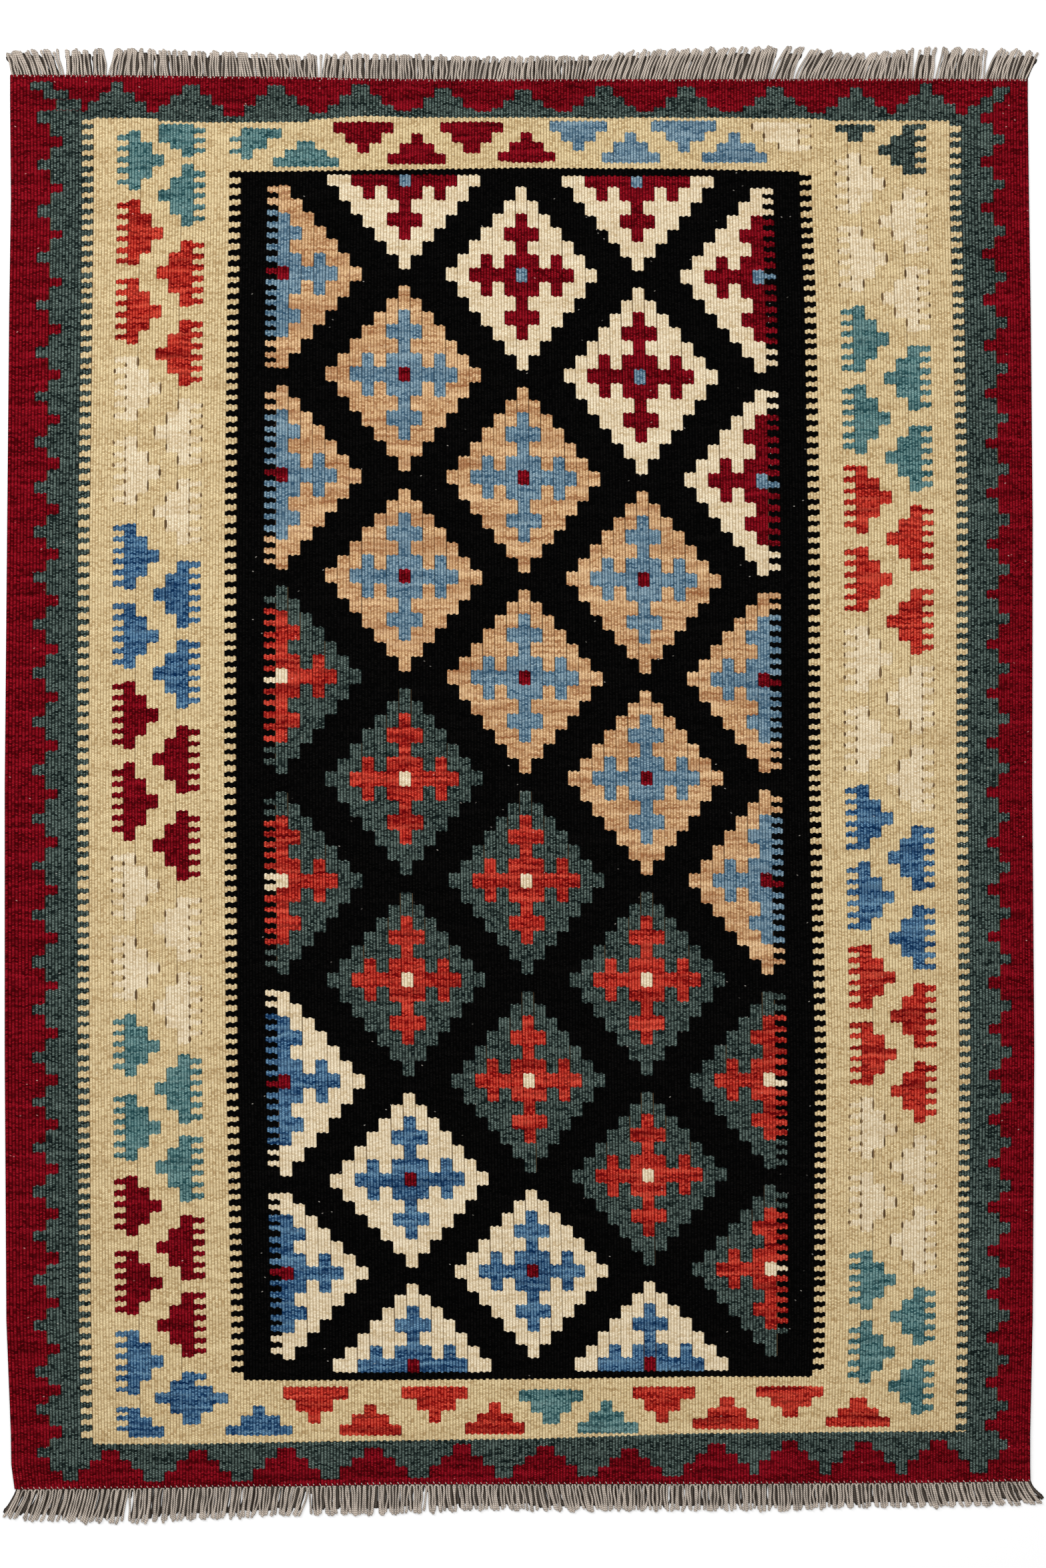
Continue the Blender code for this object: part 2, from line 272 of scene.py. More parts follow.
# How far a cord's tip lies to the right of its root, millimetres, left to right. The left
# and right columns differ where the fringe parts, and the cords there lean away.
LEAN_ROWS = {
    "top": (
        ("across", "left", "right"),
        (-1.0, -5, -5), (-0.96, -12, -12), (-0.885, -9, 0), (-0.83, -3.5, -1), (-0.8, -2, 7.5),
        (-0.74, 1, 1), (-0.675, -3, -3), (-0.58, 0, 0), (-0.52, -5.5, -5.5), (-0.387, -2, 4),
        (-0.3, -1.5, 1.5), (-0.2, -1, -1), (-0.06, 7, 7), (0.02, 0.5, 0.5), (0.09, 2, 2),
        (0.15, 12, 12), (0.3, 15, 15), (0.486, 11, 17), (0.532, 13, 20), (0.665, 14, 14),
        (0.762, 2, 10), (0.806, 2, 10), (0.902, 4, 14), (0.97, 13, 13), (1.0, 14, 14),
    ),
    "bottom": (
        ("across", "left", "right"),
        (-1.0, -20, -20), (-0.93, -12, -12), (-0.755, -8, -3), (-0.58, -5, -5), (-0.47, -5, -5),
        (-0.41, -9, 1.5), (-0.184, -2, 2.5), (-0.05, 2, 2), (0.06, 7.5, 7.5), (0.14, 7, 5.5),
        (0.2, 1, 1), (0.3, 0, 0), (0.5, 1, 1), (0.68, 2, 2), (0.78, 8, 8), (0.93, 9, 9),
        (1.0, 19.5, 19.5),
    ),
}

PAIRS = 170              # pairs of cords along each end
CORD_SIDES = 6           # corners in the section of a cord
CORD_SECTION = 1.4 * MM  # from one section of a cord to the next
TUFT_SIZES = (3, 7)      # how few cords are in a tuft, and how many are too many
UNPAIRED = 3.0 * MM      # how far out the two cords of a pair have come apart
LEAN_CURVE = 1.35        # a cord leans more and more towards its tip
SELVEDGE_RIBS = 0.4      # ribs from the side of the cloth to where the fringe begins
PARTING = 2.5            # a step in the lean, in millimetres, where the fringe stands parted
UNDER_START = -1.2 * MM  # where the cords underneath begin, outside the end of the cloth
UNDER_LEVEL = 0.65 * MM  # how high their middles lie
UNDER_WIDTH = 4.8 * MM
UNDER_HEIGHT = 1.1 * MM

# How the pairs are tied: how far a cord's root lies from the middle of its pair, how much
# further out it runs, how uneven that is, all as shares of the pitch, and how far from the end
# of the cloth it starts, millimetres
TIES = {"top": (0.16, 0.09, 0.06, -1.2), "bottom": (0.06, 0.20, 0.12, 0.8)}

# How unlike each other the cords are
LOOSE = {
    "root": 0.2 * MM,        # the place of a pair
    "tuft": 0.7 * MM,        # how far a tuft leans
    "tip": 0.6 * MM,         # how far a cord leans out of its tuft
    "bow": 0.8 * MM,         # how far it bows to one side
    "wave": 0.3 * MM,        # how far it waves from side to side
    "length": 0.02,          # its length, as a share
    "width": 0.08,           # its width, as a share, at most
    "level": 0.35,           # how high it lies, millimetres
}

# The outline of a cord: how far along it is, as a share of its length, and how wide
CORD_OUTLINE = ((0.0, 0.9), (0.1, 1.0), (0.74, 1.0), (0.90, 1.5), (0.98, 1.5), (1.0, 0.9))

# The wool: its body colour, its lightest and darkest fibres, as 0 to 255 of red, green, blue,
# how strongly single passes of weft differ (this also sets the painted highlight on the crests
# of the floats), how strongly it is streaked in bands, and how dark the painted shade in the
# hollows between the floats is. The lightest colour is also the painted highlight, and the
# darkest, darkened further, the painted shade
YARN_ROWS = (
    ("yarn", "body", "light", "dark", "fleck", "streak", "hollow_shade"),
    ("crimson", (85, 1, 6), (150, 17, 34), (46, 0, 3), 0.80, 0.65, 1.0),
    ("teal", (23, 36, 34), (108, 124, 117), (3, 10, 12), 0.85, 0.35, 1.5),
    ("sand", (194, 173, 131), (226, 207, 165), (154, 122, 78), 0.70, 0.35, 1.0),
    ("cream", (209, 192, 161), (235, 223, 198), (176, 150, 108), 0.60, 0.45, 1.0),
    ("black", (0, 0, 0), (20, 18, 17), (0, 0, 0), 0.35, 0.20, 1.0),
    ("camel", (184, 144, 100), (222, 190, 148), (138, 86, 52), 0.75, 0.95, 1.0),
    ("sky_blue", (80, 111, 131), (145, 167, 177), (38, 68, 91), 0.90, 0.65, 1.1),
    ("brick", (158, 13, 12), (210, 80, 60), (84, 2, 6), 0.90, 1.15, 1.0),
    ("royal_blue", (30, 74, 115), (109, 145, 168), (4, 34, 70), 1.00, 1.00, 1.1),
    ("turquoise", (58, 102, 105), (122, 152, 149), (24, 58, 63), 1.05, 0.80, 1.1),
)
# Bare warp: its colour, and a darker colour for its darker fibres and for the painted shade where it lies low
BARE_WARP = (0.55, 0.51, 0.45, 1.0)
BARE_WARP_SHADE = (0.40, 0.36, 0.30, 1.0)
YARNS = tuple(row[0] for row in YARN_ROWS[1:])
CODE = {yarn: place for place, yarn in enumerate(YARNS)}


def column(rows, name):
    """The named column of a table, as numbers."""
    place = rows[0].index(name)
    return np.array([row[place] for row in rows[1:]], dtype=float)


def eased(at, stations, values):
    """Read a smooth line through the values, level at each station."""
    place = np.clip(np.searchsorted(stations, at) - 1, 0, len(stations) - 2)
    share = np.clip((at - stations[place]) / (stations[place + 1] - stations[place]), 0.0, 1.0)
    share = share * share * (3.0 - 2.0 * share)
    return values[place] + (values[place + 1] - values[place]) * share


def share_across(x):
    """How far to the right of the cloth's middle x lies, as a share of half its width."""
    return np.asarray(x - CLOTH_MIDDLE.x) / (CLOTH_WIDTH / 2)


def end_y(end, x):
    """Where the top or the bottom end of the cloth lies, in metres, at the places x."""
    stands_in = eased(share_across(x), column(END_ROWS, "across"), column(END_ROWS, end)) * MM
    return CLOTH_HIGH.y - stands_in if end == "top" else CLOTH_LOW.y + stands_in


def laid_x(rib, up):
    """The place across, in metres, of the line at that many ribs, at the levels up."""
    rows = np.array(LAID_ROWS[:0:-1], dtype=float)
    lines = np.array([np.interp(up, rows[:, 0], line) for line in rows[:, 1:].T])
    ribs = np.array(LAID_RIBS, dtype=float)
    place = np.clip(np.searchsorted(ribs, rib, side="right") - 1, 0, len(ribs) - 2)
    share = (rib - ribs[place]) / (ribs[place + 1] - ribs[place])
    every = np.arange(len(up))
    across = lines[place, every] * (1 - share) + lines[place + 1, every] * share
    laid_middle = (rows[:, 1].min() + rows[:, -1].max()) / 2
    return CLOTH_MIDDLE.x + (across - laid_middle) * MM


def line_levels(table, first, last):
    """The level of a line that crosses the cloth, at each rib from first up to last."""
    ribs, ups = zip(*table)
    return np.interp(np.arange(first, last) + 0.5, ribs, ups)


def spread(levels, every):
    """Every level, from the levels of every so many."""
    return np.interp(np.arange((len(levels) - 1) * every + 1), np.arange(len(levels)) * every, levels)


# --- The chart: the yarn of every cell of every rib ---

class Chart:
    """The yarn on every rib of the cloth, from the top end down to the bottom end."""

    def __init__(self):
        self.draw = np.random.default_rng(5)
        self.yarn = np.full((RIBS, CELLS), CODE["sand"], np.uint8)

    def fill(self, yarn, first, last, top, bottom, uneven=0.5):
        """Weave one yarn from rib first up to rib last, between two levels or lines."""
        above, below = self.draw.normal(0, uneven, 2)
        tops = np.broadcast_to(top, last - first) + above
        bottoms = np.broadcast_to(bottom, last - first) + below
        starts = np.clip((CHART_REACH - tops) / CELL, 0, CELLS).round().astype(int)
        ends = np.clip((CHART_REACH - bottoms) / CELL, 0, CELLS).round().astype(int)
        for rib, start, end in zip(range(first, last), starts, ends):
            self.yarn[rib, start:max(start, end)] = CODE[yarn]

    def tooth(self, yarn, first, level, tall=TOOTH, lean=TOOTH_LEAN):
        """One tooth of a comb, a step wide, that leans so much a rib."""
        half = tall / 2 + self.draw.normal(0, 0.25)
        middle = level + self.draw.normal(0, 0.4) + lean * (np.arange(STEP) - 1.5)
        self.fill(yarn, first, first + STEP, middle + half, middle - half, 0.2)

    def wander(self, count, size, reach):
        """A smooth uneven line of so many values."""
        steps = np.arange(count) * 2 * math.pi
        waves = (1.0, 0.53, 0.29)
        return sum(
            size * wave * np.sin(steps / (reach * wave) + self.draw.uniform(0, 2 * math.pi))
            for wave in waves
        )


FIELD_FIRST = 89         # first rib of the field's first step
FIELD_STEPS = 41         # steps across the field
FIELD_ROWS = 85          # rows down the field
FIELD_REPEAT = 7         # rows between two crossings of the lattice
FIELD_RISE = 5.5         # millimetres from the middle of the first row to the top of the field
FIELD_DROP = 8.5         # millimetres from the middle of the last row to its bottom
DIAMOND_REACH = 6        # steps and rows from the heart of a diamond to its tips
BLACK = (76, 266)        # first rib of the black ground, and the rib after its last
TEAL = (22, 320)         # first rib of the end bands of teal, and the rib after their last
SIDE_BANDS = (("crimson", 0, 16), ("crimson", 326, RIBS), ("teal", 16, 22), ("teal", 320, 326))
SIDE_TIP = 6.5           # half the height of the tip of a side point, millimetres
SIDE_NOTCH = 6.2         # half the height of the notch between two of them
SIDE_PITCH = 69.0        # from the first side point to where another would stand above it
FEET_DROP = 30.0         # from the sand down to where the crimson may begin at the near end
BAND_RISE = 7.5          # from the sand up to the straight edge of the teal at the far end

# How much lower than its row the weft lies above and below the black lattice, millimetres,
# for the step at a crossing of the lattice and for each step further away from it
LATTICE_DIPS = ((2.2, 5.9), (1.5, 3.5), (1.5, 2.3), (1.5, 1.5), (1.5, 1.5), (1.5, 1.5))

# The cross in a diamond: which steps it takes in, on the row of the heart and the rows after
CROSS = ((0, 1, 2, 3, 4), (0, 1, 3), (0,), (0, 1), (0,), (), ())

# The yarns of the diamonds, which change along slanting stripes: the stripe before which each
# set ends
COLOURWAYS = (
    ("before", "ground", "cross", "heart"),
    (0, "cream", "crimson", "sky_blue"),
    (5, "camel", "sky_blue", "crimson"),
    (9, "teal", "brick", "cream"),
    (FIELD_ROWS, "cream", "royal_blue", "crimson"),
)


def diamond_part(across, down):
    """Which part of a diamond a cell is, by its steps across and rows down from the heart."""
    if across + down > DIAMOND_REACH:
        return None
    if across == 0 and down == 0:
        return "heart"
    return "cross" if across in CROSS[down] else "ground"


def colourway(step, row):
    """The yarns of the diamond with its heart there."""
    stripe = round(row / FIELD_REPEAT - step / 10)
    yarns = next(yarns for before, *yarns in COLOURWAYS[1:] if stripe < before)
    return dict(zip(COLOURWAYS[0][1:], yarns))


def weave_field(chart):
    """The black field, its diamonds, and the combs at its two sides."""
    top, bottom = line_levels(FIELD_TOP, *BLACK), line_levels(FIELD_BOTTOM, *BLACK)
    chart.fill("black", *BLACK, top, bottom, 0)
    left, right = (spread(column(FIELD_LEVELS, side), FIELD_REPEAT) for side in ("left", "right"))
    middles = left + (right - left) * np.arange(FIELD_STEPS)[:, None] / (FIELD_STEPS - 1)
    between = (middles[:, 1:] + middles[:, :-1]) / 2
    edges = np.hstack((middles[:, :1] + FIELD_RISE, between, middles[:, -1:] - FIELD_DROP))
    edges += np.array([chart.wander(FIELD_ROWS + 1, 0.25, 19) for _ in range(FIELD_STEPS)])
    edges += chart.draw.normal(0, 0.2, edges.shape)
    dip_at_crossings(edges)
    for step in range(0, FIELD_STEPS, 10):
        first_row = 0 if step in (10, 30) else FIELD_REPEAT
        for row in range(first_row, FIELD_ROWS, 2 * FIELD_REPEAT):
            weave_diamond(chart, step, row, edges)
    weave_field_comb(chart, "left", FIELD_FIRST - STEP, 0, middles[0])
    weave_field_comb(chart, "right", FIELD_FIRST + FIELD_STEPS * STEP, FIELD_STEPS - 1, middles[-1])


def dip_at_crossings(edges):
    """Lower the edges of the rows where the diamonds end at the black lattice."""
    for step in range(0, FIELD_STEPS, 10):
        first_row = FIELD_REPEAT if step in (10, 30) else 2 * FIELD_REPEAT
        for row in range(first_row, FIELD_ROWS - 1, 2 * FIELD_REPEAT):
            for away, (above, below) in enumerate(LATTICE_DIPS):
                for here in {step - away, step + away}:
                    if 0 <= here < FIELD_STEPS:
                        edges[here, row - away] -= above
                        edges[here, row + away + 1] -= below


def weave_diamond(chart, step, row, edges):
    """One stepped diamond, or the part of it that the field takes in."""
    yarns = colourway(step, row)
    reach = range(-DIAMOND_REACH, DIAMOND_REACH + 1)
    for down in reach:
        for across in reach:
            part = diamond_part(abs(across), abs(down))
            here, level = step + across, row + down
            if part is None or not 0 <= here < FIELD_STEPS or not 0 <= level < FIELD_ROWS:
                continue
            first = FIELD_FIRST + here * STEP
            top, bottom = edges[here, level:level + 2]
            chart.fill(yarns[part], first, first + STEP, top, bottom, 0)


def weave_field_comb(chart, side, first, step, middles):
    """The teeth at one side of the field, in the yarn of the diamond beside them."""
    lean = TOOTH_LEAN if side == "left" else -TOOTH_LEAN
    hearts = range(FIELD_REPEAT, FIELD_ROWS, 2 * FIELD_REPEAT)
    for heart, (count, *levels) in zip(hearts, FIELD_COMBS[side]):
        for level in np.interp(np.linspace(0, 2, count), range(3), levels):
            down = abs(int(np.argmin(np.abs(middles - level))) - heart)
            part = diamond_part(0, min(down, DIAMOND_REACH))
            chart.tooth(colourway(step, heart)[part], first, level, lean=lean)


def weave_combs(chart):
    """The teeth where the sand border meets the black of the field and the teal of the sides."""
    for first, yarn, levels in SAND_COMBS:
        every = spread(levels, 10)
        pitch = every[-2] - every[-1]
        more = np.arange(every[-1] - pitch, -CHART_REACH, -pitch)
        low, high = COMB_ENDS[yarn]
        lean = TOOTH_LEAN if first < RIBS / 2 else -TOOTH_LEAN
        for level in np.concatenate((every, more)):
            if low < level < high:
                chart.tooth(yarn, first, level, lean=lean)


def weave_sides(chart):
    """The crimson sides with the teal points that reach into them."""
    for yarn, first, last in SIDE_BANDS:
        chart.fill(yarn, first, last, CHART_REACH, -CHART_REACH, 0)
    for table, tip, shoulder in ((LEFT_POINTS, 8, 12), (RIGHT_POINTS, 330, 326)):
        count = table[-1][0] + 1
        points = np.interp(np.arange(count), column(table, "point"), column(table, "level"))
        for place, level in enumerate(points[:-1]):
            before = points[place - 1] if place else level + SIDE_PITCH
            after = points[place + 1]
            chart.fill("teal", tip, tip + STEP, level + SIDE_TIP, level - SIDE_TIP, 0.8)
            chart.fill("teal", shoulder, shoulder + STEP, (level + before) / 2 - SIDE_NOTCH,
                       (level + after) / 2 + SIDE_NOTCH, 0.6)
        if table is LEFT_POINTS:        # the corner covers the last point at the right
            last = points[-1]
            chart.fill("teal", tip, tip + STEP, last + SIDE_TIP, last - SIDE_TIP, 0.5)
            chart.fill("teal", shoulder, shoulder + STEP, last + 17, -840, 0.5)


def weave_border_motif(chart, yarn, top, bottom, body, second, point, teeth):
    """A half motif of the border: a body, two steps to a point, and teeth behind."""
    tall = top - bottom
    middle = (top + bottom) / 2 + chart.draw.normal(0, 0.8)
    chart.fill(yarn, body, body + STEP, top, bottom)
    for first, share in ((second, SECOND_SHARE), (point, POINT_SHARE)):
        half = share * tall / 2
        chart.fill(yarn, first, first + STEP, middle + half, middle - half)
    count = 6 if tall > TALL_BODY else 5
    lean = TOOTH_LEAN if teeth < body else -TOOTH_LEAN
    start = middle + TEETH_PITCH * (count - 1) / 2 + chart.draw.uniform(-1.5, 2.5)
    for place in range(count):
        level = min(start - place * TEETH_PITCH, top - 3.0)
        chart.tooth(yarn, teeth, level, lean=lean)


def weave_borders(chart):
    """The motifs of the sand border, down its sides, along its ends and in its corners."""
    for motifs, *ribs in BORDER_COLUMNS:
        for yarn, *levels in motifs:
            for top, bottom in zip(levels[::2], levels[1::2]):
                weave_border_motif(chart, yarn, top, bottom, *ribs)
    for yarn, middle, flat, base, tip, level, tall in END_MOTIFS[1:]:
        outward = 1 if flat == "low" else -1
        for share, wide in ((0.34, base), (0.67, (base + tip) // 2), (1.0, tip)):
            reach = level + outward * share * tall
            first = middle - wide // 2
            chart.fill(yarn, first, first + wide, max(level, reach), min(level, reach), 0.4)
    for yarn, blocks, teeth, lean, tall, levels in CORNER_MOTIFS:
        for block in blocks:
            chart.fill(yarn, *block)
        for level in levels:
            chart.tooth(yarn, teeth, level, tall, lean)


def weave_end_bands(chart):
    """The crimson and teal bands along both ends, with their stepped points."""
    first, last = TEAL
    top, bottom = line_levels(SAND_TOP, 0, RIBS), line_levels(SAND_BOTTOM, 0, RIBS)
    chart.fill("crimson", 16, 326, bottom[16:326] - FEET_DROP, -CHART_REACH, 0)
    chart.fill("crimson", first, last, CHART_REACH, top[first:last], 0)
    chart.fill("teal", first, last, top[first:last] + BAND_RISE, top[first:last], 0)
    chart.fill("teal", first, first + STEP, 824, 814.5, 0.3)
    chart.fill("teal", last - STEP, last, 820, 807, 0.3)
    weave_points(chart, TOP_POINTS, "teal", top)
    chart.fill("teal", 16, last, bottom[16:last], line_levels(FEET_BOTTOM, 16, last), 0)
    chart.fill("teal", first, first + STEP, -799, -820, 0.3)
    weave_points(chart, BOTTOM_POINTS, "crimson", np.full(RIBS, -CHART_REACH))


def weave_points(chart, points, yarn, bottom):
    """A row of stepped points that stand on a line."""
    for middle, tip, half in points:
        for wider, below in POINT_STEPS:
            first, last = middle - half - wider, middle + half + wider
            chart.fill(yarn, first, last, tip - below, bottom[middle], 0.7)


def weave_chart():
    """The whole cloth, in the order in which one band covers another."""
    chart = Chart()
    weave_field(chart)
    weave_combs(chart)
    weave_borders(chart)
    weave_sides(chart)
    weave_end_bands(chart)
    for block in CORNER_BLOCKS:
        chart.fill(*block, uneven=0.4)
    return chart.yarn


# --- Runs: stretches of one yarn along one rib ---

SCALLOP = 0.75           # millimetres that a rib's end bows, up on one rib, down on the next
CORNER_TUCK = 0.55       # millimetres that the outer side of a corner draws back
OVER_KNOTS = 0.8         # millimetres that the weft stands up over the top row of knots
END_BOW = 0.5            # millimetres that a rib bows out at the ends of the cloth
LOOSE_END = 0.12         # unevenness of the ends, millimetres
OPEN_SLIT = 2.3          # how far the slits beside the cream motifs stand open, millimetres
SHORT_SLIT = 3.0         # a slit shorter than this stays shut, millimetres
OPEN_SHARE = 0.8         # how many of the others stand open


def find_runs(chart):
    """The runs of the cloth, and the corners of steps where the warp may show.

    A run is rib, top, bottom, yarn, and the shares of its left and its right side that border
    on another yarn. Its top and bottom are each a level, how far it bows up in the middle, and
    how far it rises to the right.
    """
    draw = np.random.default_rng(8)
    runs, corners = [], []
    levels = CHART_REACH - np.arange(CELLS + 1) * CELL
    middle_x = laid_x(np.arange(RIBS) + 0.5, np.zeros(RIBS))
    tops, bottoms = end_y("top", middle_x) / MM + OVER_KNOTS, end_y("bottom", middle_x) / MM
    for rib in range(RIBS):
        cells = chart[rib]
        left, right = chart[max(rib - 1, 0)], chart[min(rib + 1, RIBS - 1)]
        start = int(np.argmax(levels <= tops[rib]))
        stop = int(np.argmax(levels <= bottoms[rib]))
        changes = start + 1 + np.flatnonzero(cells[start + 1:stop] != cells[start:stop - 1])
        bounds = [start, *changes, stop]
        ends = [(tops[rib], END_BOW, 0.0)]
        bow = SCALLOP if rib % 2 else -SCALLOP
        for change in changes:
            up = levels[change] + draw.normal(0, LOOSE_END)
            above, below = cells[change - 1], cells[change]
            tilt = 0.0
            # This is the corner of a step where the next rib changes somewhere else
            for near, side in ((left, 1), (right, -1)):
                if near[change + 2] == above:
                    turn = 1
                elif near[change - 3] == below:
                    turn = -1
                else:
                    continue
                tilt += turn * side * CORNER_TUCK
                up -= turn * CORNER_TUCK / 2
                corners.append((rib, up))
            ends.append((min(up, ends[-1][0] - CELL), bow, tilt))
        ends.append((bottoms[rib], -END_BOW, 0.0))
        for place in range(len(bounds) - 1):
            span = slice(bounds[place], bounds[place + 1])
            bare_left = float(np.mean(left[span] != cells[span]))
            bare_right = float(np.mean(right[span] != cells[span]))
            runs.append((rib, ends[place], ends[place + 1], int(cells[span.start]),
                         bare_left, bare_right))
    return runs, corners


def find_slits(chart):
    """The slits that stand open where cream meets sand side by side.

    They are held by the line between two ribs: top, bottom, and how wide they stand open.
    """
    draw = np.random.default_rng(9)
    pair = {CODE["cream"], CODE["sand"]}
    slits = {}
    for line in range(26, 316):
        left, right = chart[line - 1], chart[line]
        apart = (left != right) & np.isin(left, list(pair)) & np.isin(right, list(pair))
        turns = np.flatnonzero(np.diff(apart.astype(np.int8)))
        for start, stop in zip(turns[::2], turns[1::2]):
            tall = (stop - start) * CELL
            if tall < SHORT_SLIT or draw.uniform() > OPEN_SHARE:
                continue
            middle = CHART_REACH - (start + stop) / 2 * CELL + draw.normal(0, 0.08 * tall)
            reach = tall * draw.uniform(0.25, 0.48)
            wide = OPEN_SLIT * draw.uniform(0.6, 1.25)
            slits.setdefault(line, []).append((middle + reach, middle - reach, wide))
    return slits


# --- Meshes ---

def new_piece(name, mesh, material, slot):
    """A finished piece of the rug."""
    mesh.materials.append(material)
    piece = bpy.data.objects.new(name, mesh)
    bpy.context.scene.collection.objects.link(piece)
    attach(piece, "root")
    return piece


def closed_tubes(name, rings, counts):
    """A mesh of closed tubes. rings holds the corners of every section, tube after tube, and
    counts says how many sections each tube has."""
    sections, corners = rings.shape[:2]
    finish = np.cumsum(counts) - 1
    begin = finish - counts + 1
    here = np.setdiff1d(np.arange(sections), finish)
    corner = np.arange(corners)
    after = (corner + 1) % corners
    near, far = here[:, None] * corners, (here[:, None] + 1) * corners
    sides = np.stack((near + corner, near + after, far + after, far + corner), 2).reshape(-1, 4)
    caps = np.concatenate((begin[:, None] * corners + corner[::-1],
                           finish[:, None] * corners + corner))
    mesh = bpy.data.meshes.new(name)
    mesh.from_pydata(rings.reshape(-1, 3).tolist(), [], sides.tolist() + caps.tolist())
    smooth = np.zeros(len(mesh.polygons), bool)
    smooth[:len(sides)] = True
    mesh.polygons.foreach_set("use_smooth", smooth)
    edges = np.empty(len(mesh.edges) * 2, np.int32)
    mesh.edges.foreach_get("vertices", edges)
    section = edges.reshape(-1, 2) // corners
    at_end = np.zeros(sections, bool)
    at_end[begin] = at_end[finish] = True
    rim = (section[:, 0] == section[:, 1]) & at_end[section[:, 0]]
    mesh.edges.foreach_set("use_edge_sharp", rim)
    mesh.update()
    return mesh


def add_map(mesh, name, places):
    """A UV map with one place for each point of the mesh."""
    layer = mesh.uv_layers.new(name=name)
    corner_points = np.empty(len(mesh.loops), np.int32)
    mesh.loops.foreach_get("vertex_index", corner_points)
    layer.data.foreach_set("uv", places[corner_points].astype(np.float32).ravel())


def add_flat_map(mesh):
    """A map that lays the piece out as it lies on the floor, with upright faces given room."""
    points = np.empty(len(mesh.vertices) * 3, np.float32)
    mesh.vertices.foreach_get("co", points)
    points = points.reshape(-1, 3)
    size = RUG_HIGH - RUG_LOW
    tilt, margin = 0.2, 0.01
    across = (points[:, 0] - RUG_LOW.x) / size.x
    along = (points[:, 1] - RUG_LOW.y + tilt * points[:, 2]) / size.y
    add_map(mesh, "OFBake", np.stack((across, along), 1) * (1 - 2 * margin) + margin)


# The section of a rib: across as a share of its half width, up as a share of its half height
RIB_SECTION = (
    (-1.0, 0.3), (-0.7, 0.85), (0.0, 1.0), (0.7, 0.85), (1.0, 0.3), (0.55, -0.95),
    (-0.55, -0.95),
)
RIB_HALF_HEIGHT = 0.465  # of a rib, as a share of the cloth's thickness
EDGE_HALF_HEIGHT = 0.5   # of the ribs at the two selvedges
PACKING = 0.22 * MM      # how far a rib presses into the next one of its own yarn
BEND_CLEAR = 2.0         # millimetres from the end of a run to the nearest bend of its warp
SLIT_CLEAR = 1.2         # millimetres from the end of a run to the nearest bend round a slit


def slit_stations(run, slits):
    """Where a run's sides bend round the open slits beside it: level, left and right pull."""
    rib, (top, *_), (bottom, *_) = run[:3]
    stations = []
    for line, side in ((rib, 0), (rib + 1, 1)):
        for high, low, wide in slits.get(line, ()):
            middle, bend = (high + low) / 2, (high - low) * 0.25
            for level, share in ((high, 0.0), (middle + bend, 0.9), (middle - bend, 1.0),
                                 (low, 0.0)):
                if bottom + SLIT_CLEAR < level < top - SLIT_CLEAR:
                    pull = [0.0, 0.0]
                    pull[side] = share * wide / 2 * MM
                    stations.append((level, 0.0, 0.0, *pull))
    return stations


def rib_mesh(name, runs, slits, weave):
    """All the runs of one yarn, as flattened tubes of packed weft."""
    turns = np.array(sorted(row[0] for row in LAID_ROWS[1:]), dtype=float)
    ribs, stations, counts, sides = [], [], [], []
    for run in runs:
        rib, top, bottom, _, bare_left, bare_right = run
        inner = turns[(turns > bottom[0] + BEND_CLEAR) & (turns < top[0] - BEND_CLEAR)]
        own = [(*end, 0.0, 0.0) for end in (bottom, top)] + [(turn, 0, 0, 0, 0) for turn in inner]
        own = sorted(own + slit_stations(run, slits))
        stations += own
        ribs += [rib] * len(own)
        sides += [(bare_left, bare_right)] * len(own)
        counts.append(len(own))
    ribs, stations, sides = np.array(ribs), np.array(stations, dtype=float), np.array(sides)
    ups, bows, tilts, pull_left, pull_right = stations.T
    left, right = laid_x(ribs, ups), laid_x(ribs + 1, ups)
    left = left + np.where(sides[:, 0] > 0.5, weave.slit / 2, -PACKING) + pull_left
    right = right - np.where(sides[:, 1] > 0.5, weave.slit / 2, -PACKING) - pull_right
    selvedge = np.isin(ribs, (0, RIBS - 1))
    half_height = np.where(selvedge, EDGE_HALF_HEIGHT, RIB_HALF_HEIGHT) * CLOTH_THICKNESS
    section = np.array(RIB_SECTION)
    middle, half_width = (left + right) / 2, (right - left) / 2
    x = middle[:, None] + half_width[:, None] * section[:, 0]
    z = CLOTH_THICKNESS / 2 + half_height[:, None] * section[:, 1]
    y = (ups[:, None] + bows[:, None] * (1 - section[:, 0] ** 2) + tilts[:, None] * section[:, 0]) * MM
    mesh = closed_tubes(name, np.stack((x, y, z), 2), np.array(counts))
    phase = np.clip(section[:, 0] * 0.5 + 0.5, 0.001, 0.999)
    across = ribs[:, None] + phase
    along = y / PASS
    add_flat_map(mesh)
    add_map(mesh, "weave", np.stack((across, along), 2).reshape(-1, 2))
    return mesh


def lean_at(end, share):
    """How far a cord's tip lies to the right of its root, in millimetres."""
    rows = LEAN_ROWS[end]
    across = column(rows, "across")
    place = int(np.clip(np.searchsorted(across, share) - 1, 0, len(across) - 2))
    start = column(rows, "right")[place]
    finish = column(rows, "left")[place + 1]
    part = (share - across[place]) / (across[place + 1] - across[place])
    return start + (finish - start) * part


def fringe_length(end, x):
    """How long the cords are at the place x, in metres."""
    lengths = column(LENGTH_ROWS, end)
    return float(eased(share_across(x), column(LENGTH_ROWS, "across"), lengths)) * MM


def fringe_pairs(end):
    """The middles of the pairs of cords along one end, and the pitch from one to the next."""
    level = np.array([CHART_REACH if end == "top" else -CHART_REACH])
    first = float(laid_x(np.array([SELVEDGE_RIBS]), level)[0])
    last = float(laid_x(np.array([RIBS - SELVEDGE_RIBS]), level)[0])
    pitch = (last - first) / PAIRS
    return first + (np.arange(PAIRS) + 0.5) * pitch, pitch


